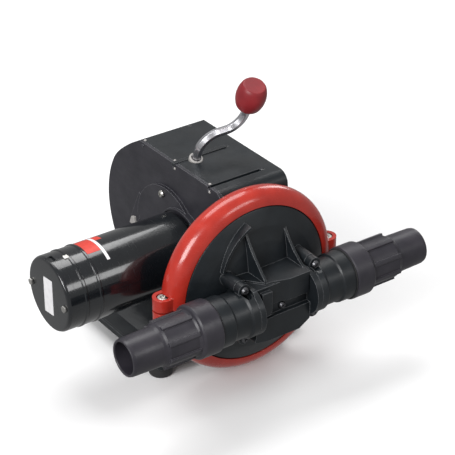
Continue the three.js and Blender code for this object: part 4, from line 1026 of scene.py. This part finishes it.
# ---------------------------------------------------------------- hand crank
RISE = 32
THROW = 45
HANDLE = 27
BEND = 18
FLATS = 8
IN_SOCKET = 26


def crank_bar():
    turns = [math.radians(a) for a in range(6, 91, 6)]
    path = [(0, -IN_SOCKET), (0, RISE - BEND)]
    path += [(BEND - BEND * math.cos(t), RISE - BEND + BEND * math.sin(t)) for t in turns]
    path += [(THROW - BEND, RISE)]
    path += [(THROW - BEND + BEND * math.sin(t), RISE + BEND - BEND * math.cos(t)) for t in turns]
    path += [(THROW, RISE + HANDLE + 24)]
    section = rounded(arc(0, 0, FLATS / math.sqrt(3), 0, 300, 5), 0.8, 6)
    bm = bmesh.new()
    rings = []
    for i, (x, z) in enumerate(path):
        before = Vector(path[max(0, i - 1)])
        after = Vector(path[min(len(path) - 1, i + 1)])
        along = (after - before).normalized()
        side = Vector((along.y, -along.x))
        rings.append([bm.verts.new(at(x + side.x * u, v, z + side.y * u)) for u, v in section])
    n = len(section)
    for a, b in zip(rings, rings[1:]):
        for i in range(n):
            bm.faces.new([a[i], a[(i + 1) % n], b[(i + 1) % n], b[i]])
    bm.faces.new(list(reversed(rings[0])))
    bm.faces.new(rings[-1])
    return about(to_object("crank_bar", bm), CRANK_PLACE)


def crank_grip():
    start = RISE + HANDLE
    profile = [(4.9, 0), (10.4, 0), (11, 0.3), (11.5, 0.9)]
    for i in range(1, 24):
        t = i / 24
        profile.append((11.5 + 3.4 * math.sin(math.pi * t) ** 0.75, 0.9 + 27 * t))
    profile += [(11.3, 27.9), (11, 28.4), (10.6, 28.65), (10, 28.7), (9.4, 28.7), (0, 28.7)]
    inner = [(0, 25), (4.9, 25)]
    points = [(r, s + start) for r, s in inner + profile]
    grip = lathe("crank_grip", points, "z", THROW, 0, 96)
    return about(grip, CRANK_PLACE)


piece(crank_bar(), BRIGHT, "crank", "bright_steel", "crank_rod")
piece(crank_grip(), CRIMSON, "knob", "crimson_plastic", "crank_knob")


# ---------------------------------------------------------------- floor, light and camera
def floor_sheet():
    """A sheet that runs back and curves up behind the pump."""
    bm = bmesh.new()
    low = CAD_BOUNDS[0][2] - 0.0002
    back, sweep = 2.6, 1.2
    line = [(-4.0, low), (back, low)]
    for a in range(6, 91, 6):
        t = math.radians(a)
        line.append((back + sweep * math.sin(t), low + sweep - sweep * math.cos(t)))
    line += [(3.8, low + 4.0)]
    rows = [[bm.verts.new((x, y, z)) for y, z in line] for x in (-5.0, 5.0)]
    for i in range(len(line) - 1):
        bm.faces.new([rows[0][i], rows[1][i], rows[1][i + 1], rows[0][i + 1]])
    mesh = bpy.data.meshes.new("studio_floor")
    bm.to_mesh(mesh)
    bm.free()
    obj = bpy.data.objects.new("studio_floor", mesh)
    bpy.context.scene.collection.objects.link(obj)
    obj.data.shade_smooth()
    g = Graph("studio_paper")
    paper = g.mix(g.spread(g.noise(3, 3), 0.3, 0.7), (0.86, 0.86, 0.865), (0.90, 0.90, 0.90))
    g.link(paper, g.shader.inputs["Base Color"])
    g.link(g.spread(g.noise(40, 2), 0.3, 0.7, 0.8, 0.9), g.shader.inputs["Roughness"])
    mesh.materials.append(g.material)
    obj.visible_glossy = False
    obj.visible_diffuse = False


def soft_light(name, place_at, aim, size, power, colour=(1, 1, 1)):
    data = bpy.data.lights.new(name, "AREA")
    data.shape = "RECTANGLE"
    data.size, data.size_y = size
    data.energy = power
    data.color = colour
    obj = bpy.data.objects.new(name, data)
    bpy.context.scene.collection.objects.link(obj)
    obj.location = place_at
    obj.rotation_euler = (Vector(aim) - Vector(place_at)).to_track_quat("-Z", "Y").to_euler()


floor_sheet()
MIDDLE = Vector([(a + b) / 2 for a, b in zip(*CAD_BOUNDS)])
soft_light("key", MIDDLE + Vector((-2.1, -0.9, 1.4)), MIDDLE, (1.3, 1.3), 64)
soft_light("front_fill", MIDDLE + Vector((0.9, -2.4, 1.5)), MIDDLE, (1.2, 0.8), 16)
soft_light("top", MIDDLE + Vector((0.2, 1.1, 2.5)), MIDDLE, (2.2, 1.4), 50)
soft_light("rim", MIDDLE + Vector((2.2, 1.2, 1.2)), MIDDLE, (0.7, 1.4), 14)

world = bpy.data.worlds.new("studio")
world.use_nodes = True
world.node_tree.nodes["Background"].inputs["Color"].default_value = (1, 1, 1, 1)
world.node_tree.nodes["Background"].inputs["Strength"].default_value = 0.36
bpy.context.scene.world = world
bpy.context.scene.view_settings.view_transform = "Standard"

AZIMUTH = math.radians(-35.78)
ELEVATION = math.radians(30.71)
level = math.cos(ELEVATION)
backwards = Vector((math.sin(AZIMUTH) * level, -math.cos(AZIMUTH) * level, math.sin(ELEVATION)))
camera_data = bpy.data.cameras.new("camera")
camera_data.sensor_fit = "HORIZONTAL"
camera_data.sensor_width = 36
camera_data.lens = 36 * 3.8
camera_data.shift_x = -0.0325
camera_data.shift_y = 0.055
camera_data.clip_end = 50
camera = bpy.data.objects.new("camera", camera_data)
bpy.context.scene.collection.objects.link(camera)
camera.location = at(-831.9, -1146.8, 869)
camera.rotation_euler = backwards.to_track_quat("Z", "Y").to_euler()
bpy.context.scene.camera = camera

bpy.context.view_layer.update()
